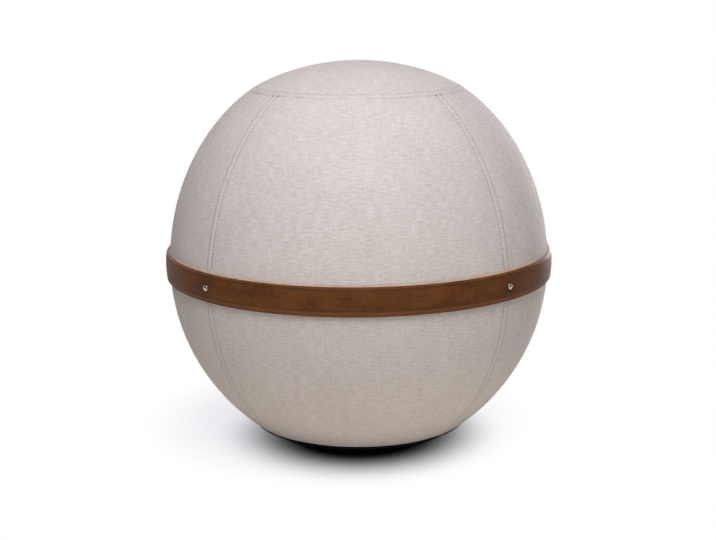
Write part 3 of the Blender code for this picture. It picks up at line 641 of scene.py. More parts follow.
def sheet_piece(name, place, material, columns, rows):
    """A sheet of columns by rows of faces.

    For the shares across and along, place gives a point and its spot on the flat cloth.
    """
    points = []
    spots = []
    for j in range(rows + 1):
        for i in range(columns + 1):
            point, spot = place(i / columns, j / rows)
            points.append(point)
            spots += [*spot, 0.0]
    corners = [j * (columns + 1) + i for j in range(rows) for i in range(columns)]
    mesh = bpy.data.meshes.new(name)
    mesh.from_pydata(points, [], [(c, c + 1, c + columns + 2, c + columns + 1) for c in corners])
    mesh.attributes.new("cloth", "FLOAT_VECTOR", "POINT").data.foreach_set("vector", spots)
    bm = bmesh.new()
    bm.from_mesh(mesh)
    bmesh.ops.remove_doubles(bm, verts=bm.verts, dist=0.001 * MM)
    bm.to_mesh(mesh)
    bm.free()
    mesh.materials.append(material)
    mesh.shade_smooth()
    return new_object(name, mesh)


def line_length(line):
    return sum(math.dist(first, second) for first, second in zip(line, line[1:]))


def swept(name, line, start, turn, material, columns, keep=None):
    """A sheet whose section, a line of (radius, height) points, is carried round Z through a turn.

    Where keep is given, it gives the share of the radius that is kept at an azimuth and height.
    """
    lengths = [line_length(line[: i + 1]) for i in range(len(line))]
    widest = max(radius for radius, _ in line)

    def place(across, along):
        number = round(along * (len(line) - 1))
        radius, height = line[number]
        azimuth = start + across * turn
        kept = keep(azimuth, height) if keep else 1.0
        return polar(radius * kept, azimuth, height), (across * turn * widest, lengths[number])

    return sheet_piece(name, place, material, columns, len(line) - 1)


def tape_place(seam):
    def place(across, along):
        beside = (across - 0.5) * TAPE_WIDTH
        climbed = TAPE_END + along * TAPE_LENGTH
        point, _ = on_side(seam, beside, climbed, TAPE_DEPTH)
        return point, (beside, climbed)

    return place


seam_webbing = woven("seam_webbing", 0.7 * MM, shade(150, 141, 134), shade(214, 205, 197), roughness=0.95)
for side, seam in zip(SEAM_SIDES, SEAM_AZIMUTHS):
    tape = sheet_piece(f"tape_{side}", tape_place(seam), seam_webbing, columns=8, rows=120)
    thicken(tape, TAPE_THICKNESS)
    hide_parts(f"seam_tape_{side}")
    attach(tape, "ball")

ring_line = []
ring_steps = 6  # on either side of the seam
for i in range(-ring_steps, ring_steps + 1):
    from_seam = i / ring_steps * TAPE_WIDTH / 2
    if from_seam < 0:
        point, _ = on_side(0, 0, SIDE_LENGTH + from_seam, TAPE_DEPTH)
    else:
        point, _ = on_cap(0, from_seam, TAPE_DEPTH)
    ring_line.append((point.x, point.z))
ring_tape = swept("tape_cap", ring_line, -QUARTER_TURN, FULL_TURN, seam_webbing, columns=192)
thicken(ring_tape, TAPE_THICKNESS)
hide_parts("cap_seam_tape")
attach(ring_tape, "ball")

# Base panel and band
# A flat round of black coated weave that the ball stands on, and a short band of it that joins it to the
# cover: the band's foot is sewn to the round, and its top is turned out under the panels' lower edges. The
# foot is drawn in under the ball, except at the back, where the zip holds the band upright.
BASE_RADIUS = 150 * MM
BASE_EDGE = 1.7 * MM  # the height of its rounded edge
BASE_THICKNESS = 1.5 * MM
BAND_FOOT = 2.1 * MM
BAND_TOP = 12.1 * MM  # the underside of its turned edge
BAND_EDGE_RADIUS = 156.6 * MM
BAND_THICKNESS = 1.4 * MM
BAND_BEND = 1.5 * MM
FOOT_ROW = 0.55 * MM  # of the stitches above the band's foot
ZIP_LENGTH = 300 * MM
ZIP_MIDDLE = QUARTER_TURN  # the back
ZIP_HALF_TURN = ZIP_LENGTH / 2 / BASE_RADIUS
BASE_STITCHES = 236
FOOT_TUCK = 14 * MM  # how far the foot is drawn in
FOOT_EASE = math.radians(40)  # the turn beside the zip in which it comes to that


def soft_step(value):
    held = min(max(value, 0.0), 1.0)
    return held * held * (3 - 2 * held)


def foot_share(azimuth, height=0.0):
    """The share of its radius that the base or the band keeps at an azimuth and height."""
    from_back = abs((azimuth - ZIP_MIDDLE + math.pi) % FULL_TURN - math.pi)
    eased = soft_step((from_back - ZIP_HALF_TURN) / FOOT_EASE)
    return 1 - FOOT_TUCK / BASE_RADIUS * eased * max(1 - height / BAND_TOP, 0.0)


def bend_line(centre, out, up, first, last, steps):
    """Points of (radius, height) round a centre, out and up from it, from one angle to another."""
    angles = [first + i / steps * (last - first) for i in range(steps + 1)]
    return [(centre[0] + out * math.cos(angle), centre[1] + up * math.sin(angle)) for angle in angles]


def coated_weave():
    """Black polyester weave under a thin coat, with small rubber dots that grip."""
    material, graph = new_material("base_coated_weave")
    place = graph.object_place()
    grain = graph.noise(place, 900.0, 3.0)
    dust = graph.noise(place, 35.0, 4.0)
    dots_sockets = {"Vector": place, "Scale": 220.0, "Randomness": 0.15}
    dots = graph.node("ShaderNodeTexVoronoi", sockets=dots_sockets, output="Distance")
    dot = 1 - graph.rise(dots, 0.22, 0.34)
    colour = graph.blend(graph.rise(dust, 0.35, 0.75), shade(16, 16, 17), shade(34, 33, 32))
    bump = graph.bump(grain * 0.5 + dot, 0.2 * MM)
    surface(graph, Base_Color=colour, Roughness=0.62 + 0.25 * grain, Normal=bump, Specular_IOR_Level=0.3)
    return material


base_weave = coated_weave()
edge = BASE_EDGE / 2
base_line = [(BASE_RADIUS * i / 24, 0.0) for i in range(24)]
base_line += bend_line((BASE_RADIUS - edge, edge), edge, edge, -QUARTER_TURN, 0, steps=6)
base = swept("base_round", base_line, 0, FULL_TURN, base_weave, columns=240, keep=foot_share)
thicken(base, BASE_THICKNESS)
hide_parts("base_panel")
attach(base, "ball")


def band_line(foot, radius):
    """Up the outside of the band, round its bend and out under its turned edge."""
    bend_foot = BAND_TOP - BAND_BEND
    upright = [(radius, foot + i / 4 * (bend_foot - foot)) for i in range(4)]
    bend = bend_line((radius + BAND_BEND, bend_foot), -BAND_BEND, BAND_BEND, 0, QUARTER_TURN, steps=6)
    return [*upright, *bend, (BAND_EDGE_RADIUS, BAND_TOP)]


band_start = ZIP_MIDDLE + ZIP_HALF_TURN
band_turn = FULL_TURN - 2 * ZIP_HALF_TURN
band_rise = band_line(BAND_FOOT, BASE_RADIUS)
band = swept("base_band_cloth", band_rise, band_start, band_turn, base_weave, columns=180, keep=foot_share)
thicken(band, BAND_THICKNESS)
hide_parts("base_band")
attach(band, "ball")

foot_height = BAND_FOOT + FOOT_ROW
foot_row = []
for i in range(BASE_STITCHES):
    azimuth = i * FULL_TURN / BASE_STITCHES
    foot_radius = BASE_RADIUS * foot_share(azimuth, foot_height)
    foot_row.append((polar(foot_radius, azimuth, foot_height), polar(1, azimuth, 0)))
foot_values = {
    "Stitch Length": 3.2 * MM,
    "Thread Thickness": 0.4 * MM,
    "Stitches": BASE_STITCHES,
    "Seed": 7,
    "Thread": sewing_thread("base_thread", shade(20, 20, 21), shade(44, 43, 42)),
}
foot_start = row_mesh("foot_stitching", [foot_row], closed=True)
foot_stitching = grow("foot_stitching", stitch_rule, foot_values, foot_start)
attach(foot_stitching, "ball")

# Zip
# A black nylon coil zip in the back of the band, through which the bladder goes in: two woven tapes, a coil
# sewn along each, a stop clamped over both at each end, and a painted metal slider with its pull.
ZIP_HEIGHT = 7.1 * MM
TAPE_TO_MIDDLE = 0.9 * MM  # from a zip tape's edge to the middle of the zip
COIL_TO_MIDDLE = 1.67 * MM
COIL_OUT = 0.78 * MM  # from the band's face to the middle of the coils
COIL_TURNS = 236
ZIP_TAPE_THICKNESS = 0.8 * MM
ZIP_TAPE_INSET = 0.1 * MM  # behind the band's face

zip_webbing = woven("zip_webbing", 0.55 * MM, shade(17, 17, 18), shade(40, 40, 42), roughness=0.8)
zip_start = ZIP_MIDDLE - ZIP_HALF_TURN
zip_turn = 2 * ZIP_HALF_TURN
zip_radius = BASE_RADIUS - ZIP_TAPE_INSET
upper_line = band_line(ZIP_HEIGHT + TAPE_TO_MIDDLE, zip_radius)
lower_shown = ZIP_HEIGHT - TAPE_TO_MIDDLE - BAND_FOOT
lower_line = [(zip_radius, BAND_FOOT + i / 4 * lower_shown) for i in range(5)]
for level, line in (("upper", upper_line), ("lower", lower_line)):
    zip_tape = swept(f"zip_{level}_webbing", line, zip_start, zip_turn, zip_webbing, columns=96)
    thicken(zip_tape, ZIP_TAPE_THICKNESS)
    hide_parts(f"zip_tape_{level}")
    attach(zip_tape, "ball")


def coil_tree():
    """Turns of a zip's coil, leaning as wound wire does, along lines whose points know which way is out."""
    graph, given = new_tree(
        "zip_coil",
        whole=("Turns",),
        sizes=("Turn Height", "Turn Depth", "Wire Thickness", "Lean"),
        finish="Nylon",
    )
    loop = graph.node("GeometryNodeCurvePrimitiveCircle", sockets={"Resolution": 10, "Radius": 0.5})
    oval_size = graph.vector(given["Turn Depth"], given["Turn Height"], 1.0)
    oval = graph.node("GeometryNodeTransform", sockets={"Geometry": loop, "Scale": oval_size})
    wire_sockets = {"Resolution": 5, "Radius": given["Wire Thickness"] / 2}
    wire = graph.node("GeometryNodeCurvePrimitiveCircle", sockets=wire_sockets)
    turn = graph.node("GeometryNodeCurveToMesh", sockets={"Curve": oval, "Profile Curve": wire})
    lines = graph.node("GeometryNodeMeshToCurve", sockets={"Mesh": given["Geometry"]})
    place_sockets = {"Curve": lines, "Count": given["Turns"]}
    places = graph.node("GeometryNodeResampleCurve", {"mode": "COUNT"}, place_sockets)
    out = graph.node("GeometryNodeInputNamedAttribute", {"data_type": "FLOAT_VECTOR"}, {"Name": "out"})
    along = graph.node("GeometryNodeInputTangent")
    leaning_sockets = {0: along, 1: graph.vector(0.0, 0.0, given["Lean"])}
    leaning = graph.node("ShaderNodeVectorMath", {"operation": "ADD"}, leaning_sockets)
    facing = graph.node(
        "FunctionNodeAxesToRotation",
        {"primary_axis": "Z", "secondary_axis": "X"},
        {"Primary Axis": leaning, "Secondary Axis": out},
    )
    coil_sockets = {"Points": places, "Instance": turn, "Rotation": facing}
    coil = graph.node("GeometryNodeInstanceOnPoints", sockets=coil_sockets)
    return end_tree(graph, coil, given["Nylon"])


def moulded(name, dark, light, roughness, speck):
    """Moulded plastic or rubber: a fine skin, faint flow marks and a little dust."""
    material, graph = new_material(name)
    place = graph.object_place()
    skin = graph.noise(place, speck, 3.0)
    flow = graph.noise(place, 30.0, 2.0)
    colour = graph.blend(graph.rise(0.5 * skin + 0.5 * flow, 0.3, 0.7), dark, light)
    surface(graph, Base_Color=colour, Roughness=roughness + 0.15 * skin, Normal=graph.bump(skin, 0.05 * MM))
    return material


coil_radius = BASE_RADIUS + COIL_OUT
coil_azimuths = [zip_start + i / 96 * zip_turn for i in range(97)]
coil_rows = []
for height in (ZIP_HEIGHT - COIL_TO_MIDDLE, ZIP_HEIGHT + COIL_TO_MIDDLE):
    row = [(polar(coil_radius, azimuth, height), polar(1, azimuth, 0)) for azimuth in coil_azimuths]
    coil_rows.append(row)
coil_values = {
    "Turns": COIL_TURNS,
    "Turn Height": 1.7 * MM,
    "Turn Depth": 1.15 * MM,
    "Wire Thickness": 0.42 * MM,
    "Lean": 0.25,
    "Nylon": moulded("coil_nylon", shade(14, 14, 15), shade(30, 30, 32), roughness=0.32, speck=1500.0),
}
coils = grow("zip_coils", coil_tree(), coil_values, row_mesh("zip_coils", coil_rows))
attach(coils, "ball")


def painted_metal():
    """Satin black paint on die-cast metal, rubbed through in fine scratches."""
    material, graph = new_material("zip_black_paint")
    place = graph.object_place()
    speck = graph.noise(place, 1800.0, 2.0)
    scratch = graph.noise(graph.stretched(place, (300.0, 300.0, 2600.0)), 1.0, 3.0)
    bare = graph.rise(scratch, 0.66, 0.74)
    colour = graph.blend(bare, shade(24, 24, 25), shade(132, 130, 127))
    surface(
        graph,
        Base_Color=colour,
        Metallic=bare,
        Roughness=0.36 + 0.2 * speck,
        Normal=graph.bump(speck, 0.04 * MM),
    )
    return material


def dress(material, *names):
    """Gives a material to CAD nodes whose own shape shows."""
    for name in names:
        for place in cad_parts[name].material_slots:
            place.material = material


dress(painted_metal(), "zip_top_stop", "zip_bottom_stop", "zip_slider", "zip_pull")

# Strap lining
# A ply of cream suede, on which the strap lies soft against the cloth; it shows as a pale line above it.
# It is sewn to the strap along the two creases, and its ends meet under the lap.
LINING_RADIUS = 274.7 * MM  # of its outer face
LINING_WIDTH = 39.5 * MM
LINING_RISE = 2.2 * MM  # of its middle above the strap's
LINING_THICKNESS = 1.2 * MM
STRAP_HEIGHT = EQUATOR_HEIGHT - 2.8 * MM  # of its middle
UPPER_MARGIN = 3.0 * MM  # from the strap's upper edge down to the crease there
LOWER_MARGIN = 7.4 * MM
MARGIN_BEND = 2.0 * MM  # how far the upper margin bends in to the cloth
LAP_SEAM = FIRST_SEAM + SEAM_SIDES.index("back_right") * PANEL_TURN
LAP_TURN = math.radians(15)
STRAP_START = LAP_SEAM - LAP_TURN / 2


def suede():
    """Brushed leather: a short nap that lies light and dark."""
    material, graph = new_material("lining_suede")
    place = graph.object_place()
    nap = graph.noise(place, 1400.0, 3.0)
    brushed = graph.noise(place, 60.0, 3.0)
    lie = graph.rise(0.5 * nap + 0.5 * brushed, 0.3, 0.7)
    colour = graph.blend(lie, shade(170, 142, 126), shade(200, 174, 158))
    bump = graph.bump(nap, 0.2 * MM)
    surface(graph, Base_Color=colour, Roughness=0.85 + 0.1 * nap, Normal=bump, Sheen_Weight=0.2)
    return material


def strap_bend(across):
    """How far the strap and its lining curve in with the ball, at a height above the strap's middle."""
    into_margin = 1 - (STRAP_WIDTH / 2 - across) / UPPER_MARGIN
    return across**2 / (2 * SIDE_ARC_RADIUS) + MARGIN_BEND * soft_step(into_margin)


lining_line = []
for i in range(13):
    across = LINING_RISE + (i / 12 - 0.5) * LINING_WIDTH
    lining_line.append((LINING_RADIUS - strap_bend(across), STRAP_HEIGHT + across))
lining = swept("strap_suede", lining_line, STRAP_START, FULL_TURN, suede(), columns=240)
thicken(lining, LINING_THICKNESS)
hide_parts("strap_lining")
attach(lining, "ball")

# Strap
# A carrying strap of brown waxed leather round the equator. Its cut edges are left pale, and a crease is
# pressed along each and sewn. Its outer end, with the corners cut off, laps over the inner one at the back
# right seam.
STRAP_RADIUS = 274.7 * MM  # of its inner face
STRAP_THICKNESS = 2.8 * MM
STRAP_EDGE = 1.0 * MM  # the round of its edges
EDGE_FALL = 1.2 * MM  # how much thinner its upper edge is than its middle
STRAP_CROWN = 0.6 * MM
CREASE_DEPTH = 0.45 * MM
CREASE_WIDTH = 0.6 * MM
LAP_LIFT = 3.1 * MM
END_CUT = 9 * MM
STUD_SINK = 1.6 * MM  # how far a stud pulls the leather in
STUD_REACH = 6.2 * MM
STRAP_STATIONS = 960
STRAP_STITCHES = 410
FINE_MARGIN = 8 * MM  # from an edge to where the mesh is coarser
FINE_STEPS = 26
COARSE_STEPS = 8
CUT_STEPS = 6
CUT_TURN = END_CUT / STRAP_RADIUS
FULL_WIDTH_TURN = FULL_TURN + LAP_TURN - CUT_TURN
STRAP_AZIMUTHS = [STRAP_START + i / STRAP_STATIONS * FULL_WIDTH_TURN for i in range(STRAP_STATIONS + 1)]


def strap_lift(azimuth):
    """How far the strap has climbed on its own inner end."""
    return LAP_LIFT * soft_step((azimuth - STRAP_START - FULL_TURN + LAP_TURN) / LAP_TURN)


def stud_pull(azimuth, height):
    """How far the nearest stud pulls the leather in."""
    past_seam = min(abs((azimuth - seam + math.pi) % FULL_TURN - math.pi) for seam in SEAM_AZIMUTHS)
    distance = math.hypot(past_seam * STRAP_RADIUS, height)
    return STUD_SINK * math.exp(-((distance / STUD_REACH) ** 2))


def strap_face(across, half_width):
    """How far the outer face stands above the inner one, at a distance from the strap's middle."""
    from_edge = half_width - abs(across)
    short = max(STRAP_EDGE - from_edge, 0.0)
    rounded = STRAP_EDGE - math.sqrt(max(STRAP_EDGE**2 - short**2, 0.0))
    margin = UPPER_MARGIN if across > 0 else LOWER_MARGIN
    crease = CREASE_DEPTH * math.exp(-(((from_edge - margin) / CREASE_WIDTH) ** 2))
    crown = STRAP_CROWN * (1 - (across / half_width) ** 2)
    fall = EDGE_FALL * soft_step(1 - (half_width - across) / UPPER_MARGIN)
    return STRAP_THICKNESS - rounded - crease + crown - fall


def strap_distances(half_width):
    """Places across the outer face, close together at its edges and creases."""
    fine = [half_width - FINE_MARGIN * (i / FINE_STEPS) for i in range(FINE_STEPS)]
    coarse = [(half_width - FINE_MARGIN) * (1 - i / COARSE_STEPS) for i in range(COARSE_STEPS)]
    side = fine + coarse
    return [-distance for distance in side] + [0.0] + side[::-1]


def strap_section(azimuth, half_width):
    """Round the strap at an azimuth: its outer face from the lower edge up, and then its inner face.

    Each point comes with its place across and with 0 inside, 1 outside and up to 2 under a stud.
    """
    back = STRAP_RADIUS + strap_lift(azimuth)
    section = []
    for across in strap_distances(half_width):
        pull = stud_pull(azimuth, across)
        face = back - strap_bend(across) + strap_face(across, half_width) - pull
        section.append((polar(face, azimuth, STRAP_HEIGHT + across), across, 1 + pull / STUD_SINK))
    behind = half_width - STRAP_EDGE / 3
    for i in range(9):
        across = behind * (1 - i / 4)
        section.append((polar(back - strap_bend(across), azimuth, STRAP_HEIGHT + across), across, 0.0))
    return section


def strap_mesh():
    stations = [(azimuth, STRAP_WIDTH / 2) for azimuth in STRAP_AZIMUTHS]
    for i in range(1, CUT_STEPS + 1):
        cut = i / CUT_STEPS
        stations.append((STRAP_AZIMUTHS[-1] + CUT_TURN * cut, STRAP_WIDTH / 2 - END_CUT * cut))
    points = []
    spots = []
    faces = []
    for azimuth, half_width in stations:
        section = strap_section(azimuth, half_width)
        count = len(section)
        first = len(points)
        points += [place for place, _, _ in section]
        for _, across, outside in section:
            spots += [(azimuth - STRAP_START) * STRAP_RADIUS, across, outside]
        if first:
            for i in range(count):
                after = (i + 1) % count
                faces.append((first - count + i, first + i, first + after, first - count + after))
    faces.append(tuple(range(count)))
    faces.append(tuple(range(len(points) - 1, len(points) - count - 1, -1)))
    mesh = bpy.data.meshes.new("strap_leather")
    mesh.from_pydata(points, [], faces)
    mesh.attributes.new("hide", "FLOAT_VECTOR", "POINT").data.foreach_set("vector", spots)
    bm = bmesh.new()
    bm.from_mesh(mesh)
    bmesh.ops.recalc_face_normals(bm, faces=bm.faces)
    bm.to_mesh(mesh)
    bm.free()
    mesh.shade_smooth()
    return mesh


def waxed_leather():
    """Full-grain leather: pebbled grain, lighter and darker patches, darker creases, pale cut edges, painted
    light along the lower margin and a painted shadow round each stud.
    """
    material, graph = new_material("strap_waxed_leather")
    hide = graph.attribute("hide")
    place = graph.parts(hide)
    from_edge = STRAP_WIDTH / 2 - abs(place["Y"])
    warp = graph.noise(hide, 260.0, 2.0)
    pebble_place = graph.vector(place["X"] + warp * (0.8 * MM), place["Y"] + warp * (0.8 * MM))
    pebble_sockets = {"Vector": pebble_place, "Scale": 640.0}
    pebble = graph.node("ShaderNodeTexVoronoi", sockets=pebble_sockets, output="Distance")
    pore = graph.noise(hide, 2300.0, 2.0)
    pull_up = graph.noise(graph.stretched(hide, (22.0, 60.0, 0.0)), 1.0, 4.0)
    rub = graph.noise(hide, 140.0, 3.0)
    tone = graph.rise(0.55 * pull_up + 0.25 * rub + 0.2 * pebble, 0.3, 0.68)
    tanned = graph.blend(tone, shade(76, 43, 19), shade(107, 64, 31))
    upper = graph.maths("GREATER_THAN", place["Y"], 0.0)
    margin = LOWER_MARGIN + upper * (UPPER_MARGIN - LOWER_MARGIN)
    # painted light from below: a paler band along the lower margin, above its edge
    lower_margin_light = 0.18 * (1 - upper) * graph.bell((from_edge - 0.6 * LOWER_MARGIN) / (0.3 * LOWER_MARGIN))
    wear_and_painted_light = graph.blend(lower_margin_light, tanned, shade(158, 118, 90))
    # darker along the creases, the upper one more
    crease = (0.3 + 0.3 * upper) * graph.bell((from_edge - margin) / (1.4 * CREASE_WIDTH))
    # painted shadow round each stud, where it pulls the leather in
    pressed = graph.rise(place["Z"], 1.25, 1.5)
    crease_dark_and_stud_shadow = graph.blend(graph.maths("MAXIMUM", crease, 0.75 * pressed), wear_and_painted_light, shade(36, 18, 8))
    cut_edge = 1 - graph.rise(place["Z"], 0.5, 1.0)
    colour = graph.blend(0.8 * cut_edge, crease_dark_and_stud_shadow, shade(190, 156, 130))
    grain = graph.bump(pebble * 0.8 + pore * 0.3, 0.18 * MM)
    surface(graph, Base_Color=colour, Roughness=0.45 + 0.2 * rub, Normal=grain, Specular_IOR_Level=0.1)
    return material


leather = strap_mesh()
leather.materials.append(waxed_leather())
strap = new_object("strap_leather", leather)
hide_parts("strap")
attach(strap, "ball")

strap_rows = []
for across in (LOWER_MARGIN - STRAP_WIDTH / 2, STRAP_WIDTH / 2 - UPPER_MARGIN):
    row = []
    level_face = STRAP_RADIUS - strap_bend(across) + strap_face(across, STRAP_WIDTH / 2)
    for azimuth in STRAP_AZIMUTHS:
        face = level_face + strap_lift(azimuth)
        row.append((polar(face, azimuth, STRAP_HEIGHT + across), polar(1, azimuth, 0)))
    strap_rows.append(row)
strap_thread_values = {
    "Stitch Length": 3.6 * MM,
    "Thread Thickness": 0.5 * MM,
    "Stitches": STRAP_STITCHES,
    "Seed": 11,
    "Thread": sewing_thread("strap_thread", shade(64, 36, 18), shade(98, 60, 33)),
}
strap_start = row_mesh("strap_stitching", strap_rows)
strap_stitching = grow("strap_stitching", stitch_rule, strap_thread_values, strap_start)
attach(strap_stitching, "ball")

# Studs
# A domed, chromed stud through strap and cover at each side seam, pulled down into the leather.
# Its post is riveted over a plated washer inside the cover.
STUD_SEAT = 276.2 * MM  # from the ball's axis to the underside of its head
STUD_RADIUS = 5 * MM
STUD_RIM = 0.8 * MM
STUD_DOME_HEIGHT = 3.2 * MM
STUD_POST_RADIUS = 2 * MM
STUD_POST_LENGTH = 8 * MM
WASHER_SEAT = 268.65 * MM
WASHER_RADIUS = 6 * MM
WASHER_THICKNESS = 0.55 * MM


def turned(name, line, columns):
    """A closed mesh whose section is a line of (radius, height) points that starts and ends on Z."""
    bm = bmesh.new()
    corners = [bm.verts.new((radius, 0, height)) for radius, height in line]
    edges = [bm.edges.new(pair) for pair in zip(corners, corners[1:])]
    bmesh.ops.spin(
        bm,
        geom=corners + edges,
        axis=(0, 0, 1),
        cent=(0, 0, 0),
        angle=FULL_TURN,
        steps=columns,
        use_merge=True,
    )
    bmesh.ops.remove_doubles(bm, verts=bm.verts, dist=0.001 * MM)
    bmesh.ops.recalc_face_normals(bm, faces=bm.faces)
    mesh = bpy.data.meshes.new(name)
    bm.to_mesh(mesh)
    bm.free()
    radii = [math.hypot(corner.co.x, corner.co.y) for corner in mesh.vertices]
    mesh.attributes.new("radius", "FLOAT", "POINT").data.foreach_set("value", radii)
    return mesh


def stud_tree():
    """Copies of a stud at the side seams, facing out; the one on the strap's lap sits further out."""
    graph, given = new_tree(
        "studs",
        whole=("Count", "Lap Number"),
        sizes=("First Azimuth", "Front Extra", "Seat", "Lap Lift", "Height"),
        finish="Chrome",
    )
    number = graph.node("GeometryNodeInputIndex")
    shift = given["Front Extra"] * (1 - 2 * graph.maths("MODULO", number, 2.0))
    azimuth = given["First Azimuth"] + number * FULL_TURN / given["Count"] + shift
    on_lap = graph.maths("COMPARE", number, given["Lap Number"], 0.5)
    seat = given["Seat"] + given["Lap Lift"] * on_lap
    east = graph.maths("COSINE", azimuth)
    north = graph.maths("SINE", azimuth)
    spot = graph.vector(seat * east, seat * north, given["Height"])
    places = graph.node("GeometryNodePoints", sockets={"Count": given["Count"], "Position": spot})
    facing = graph.node(
        "FunctionNodeAxesToRotation",
        {"primary_axis": "Z", "secondary_axis": "Y"},
        {"Primary Axis": graph.vector(east, north), "Secondary Axis": (0.0, 0.0, 1.0)},
    )
    stud_sockets = {"Points": places, "Instance": given["Geometry"], "Rotation": facing}
    studs = graph.node("GeometryNodeInstanceOnPoints", sockets=stud_sockets)
    return end_tree(graph, studs, given["Chrome"])


def plated(name, colour, roughness, edge):
    """Plated metal with hairline polishing marks, darkened towards the radius of its edge by painted shade.
    """
    material, graph = new_material(name)
    place = graph.object_place()
    hairline = graph.noise(graph.stretched(place, (900.0, 900.0, 4200.0)), 1.0, 2.0)
    radius = graph.attribute("radius", "Fac")
    # painted shade: darker towards the rim, where the head meets what it sits on
    tint = graph.blend(0.9 * graph.rise(radius, 0.7 * edge, edge), colour, shade(40, 34, 28))
    surface(
        graph,
        Base_Color=tint,
        Metallic=1.0,
        Roughness=roughness + 0.08 * hairline,
        Normal=graph.bump(hairline, 0.01 * MM),
    )
    return material


rim = STUD_RIM / 2
dome_radius = STUD_RADIUS - rim
stud_line = [
    (0.0, -STUD_POST_LENGTH),
    (STUD_POST_RADIUS, -STUD_POST_LENGTH),
    (STUD_POST_RADIUS, 0.0),
    *bend_line((dome_radius, rim), rim, rim, -QUARTER_TURN, QUARTER_TURN, steps=6),
    *bend_line((0.0, STUD_RIM), dome_radius, STUD_DOME_HEIGHT, 0, QUARTER_TURN, steps=16),
]
stud_values = {
    "Count": len(SEAM_SIDES),
    "Lap Number": SEAM_SIDES.index("back_right"),
    "First Azimuth": FIRST_SEAM,
    "Front Extra": FRONT_EXTRA,
    "Seat": STUD_SEAT,
    "Lap Lift": LAP_LIFT,
    "Height": STRAP_HEIGHT,
    "Chrome": plated("stud_chrome", shade(172, 164, 152), roughness=0.06, edge=STUD_RADIUS),
}
stud_rule = stud_tree()
studs = grow("chrome_studs", stud_rule, stud_values, turned("chrome_studs", stud_line, columns=40))
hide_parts(*(f"stud_{side}" for side in SEAM_SIDES))
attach(studs, "ball")
washer_line = [(0.0, 0.0), (WASHER_RADIUS, 0.0), (WASHER_RADIUS, WASHER_THICKNESS), (0.0, WASHER_THICKNESS)]
washer_values = {
    **stud_values,
    "Seat": WASHER_SEAT,
    "Lap Lift": 0.0,
    "Chrome": plated("washer_plating", shade(188, 186, 182), roughness=0.3, edge=WASHER_RADIUS),
}
washer_start = turned("plated_washers", washer_line, columns=32)
washers = grow("plated_washers", stud_rule, washer_values, washer_start)
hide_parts(*(f"stud_washer_{side}" for side in SEAM_SIDES))
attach(washers, "ball")

# Ballast ring and pocket
# A fat ring of sand-filled canvas that makes the ball stand up, quilted into cells so that the sand stays
# spread. A black pocket sewn to the base panel by its two hems holds it down.
BALLAST_RADIUS = 112.6 * MM  # to the middle of the ring
BALLAST_WIDTH = 51 * MM
BALLAST_HEIGHT = 23.6 * MM
BALLAST_CELLS = 16
BALLAST_SQUARENESS = 0.55  # the power that its section is drawn with: 1 is an oval, and less is squarer
CHANNEL_SHARE = 0.86  # of its width and height that is left at a sewn channel
POCKET_THICKNESS = 0.9 * MM
POCKET_HEM = 8 * MM
POCKET_ROOM = 0.8 * MM  # on either side of the ring
POCKET_TOP_ROOM = 1.5 * MM
POCKET_BEND = 9 * MM


def ballast_place(across, along):
    """Round the ring's section and then round the ring; a cell bulges between two sewn channels."""
    angle = across * FULL_TURN
    azimuth = along * FULL_TURN
    bulge = abs(math.sin(azimuth * BALLAST_CELLS / 2)) ** 0.4
    plump = CHANNEL_SHARE + (1 - CHANNEL_SHARE) * bulge
    side = math.copysign(abs(math.cos(angle)) ** BALLAST_SQUARENESS, math.cos(angle))
    top = math.copysign(abs(math.sin(angle)) ** BALLAST_SQUARENESS, math.sin(angle))
    radius = (BALLAST_RADIUS + BALLAST_WIDTH / 2 * side * plump) * foot_share(azimuth)
    height = BAND_FOOT + BALLAST_HEIGHT / 2 * (1 + top * plump)
    girth = 2 * (BALLAST_WIDTH + BALLAST_HEIGHT)
    return polar(radius, azimuth, height), (across * girth, azimuth * BALLAST_RADIUS)


canvas = woven("ballast_canvas", 0.8 * MM, shade(34, 34, 36), shade(74, 73, 72), roughness=0.95)
ballast = sheet_piece("sand_ring", ballast_place, canvas, columns=40, rows=320)
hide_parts("ballast_ring")
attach(ballast, "ball")


def pocket_wall(side):
    """From a hem to the wall and up round its bend to the top; side is 1 outside the ring and -1 inside."""
    wall = BALLAST_RADIUS + side * (BALLAST_WIDTH / 2 + POCKET_ROOM)
    foot = BAND_FOOT + POCKET_THICKNESS
    bend_foot = BAND_FOOT + BALLAST_HEIGHT + POCKET_TOP_ROOM - POCKET_BEND
    bend_centre = (wall - side * POCKET_BEND, bend_foot)
    bend = bend_line(bend_centre, side * POCKET_BEND, POCKET_BEND, 0, QUARTER_TURN, steps=8)
    return [(wall + side * POCKET_HEM, foot), (wall, foot), *bend]


def pocket_share(azimuth, _):
    """The share of its radius that the pocket keeps, which is the base's at the foot, at any height."""
    return foot_share(azimuth)


pocket_line = pocket_wall(1) + pocket_wall(-1)[::-1]
pocket = swept("sand_pocket", pocket_line, 0, FULL_TURN, base_weave, columns=240, keep=pocket_share)
thicken(pocket, POCKET_THICKNESS)
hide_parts("ballast_pocket")
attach(pocket, "ball")

# Bladder
# The inflated inner ball, blown from grey vinyl with a satin skin and dusted with talc so that it slides
# into place. Air presses it against the cover all round, and it lies flat on the pocket at the bottom.
BLADDER_DEPTH = 3.75 * MM  # of its face behind the cloth's round
BLADDER_FLOOR = 28.0 * MM
BLADDER_WALL = 1.1 * MM
BLADDER_HOLE = 8.4 * MM  # the radius of the valve's hole
BLADDER_REST = 130 * MM  # the edge of the flat that rests on the pocket
BLADDER_LEAVE = 62 * MM  # the length up from the base seam at which it meets the cover
BLADDER_SHOULDER = 4 * MM  # from the cap's seam to where it lies on the cover again
TANGENT_STEP = 1 * MM

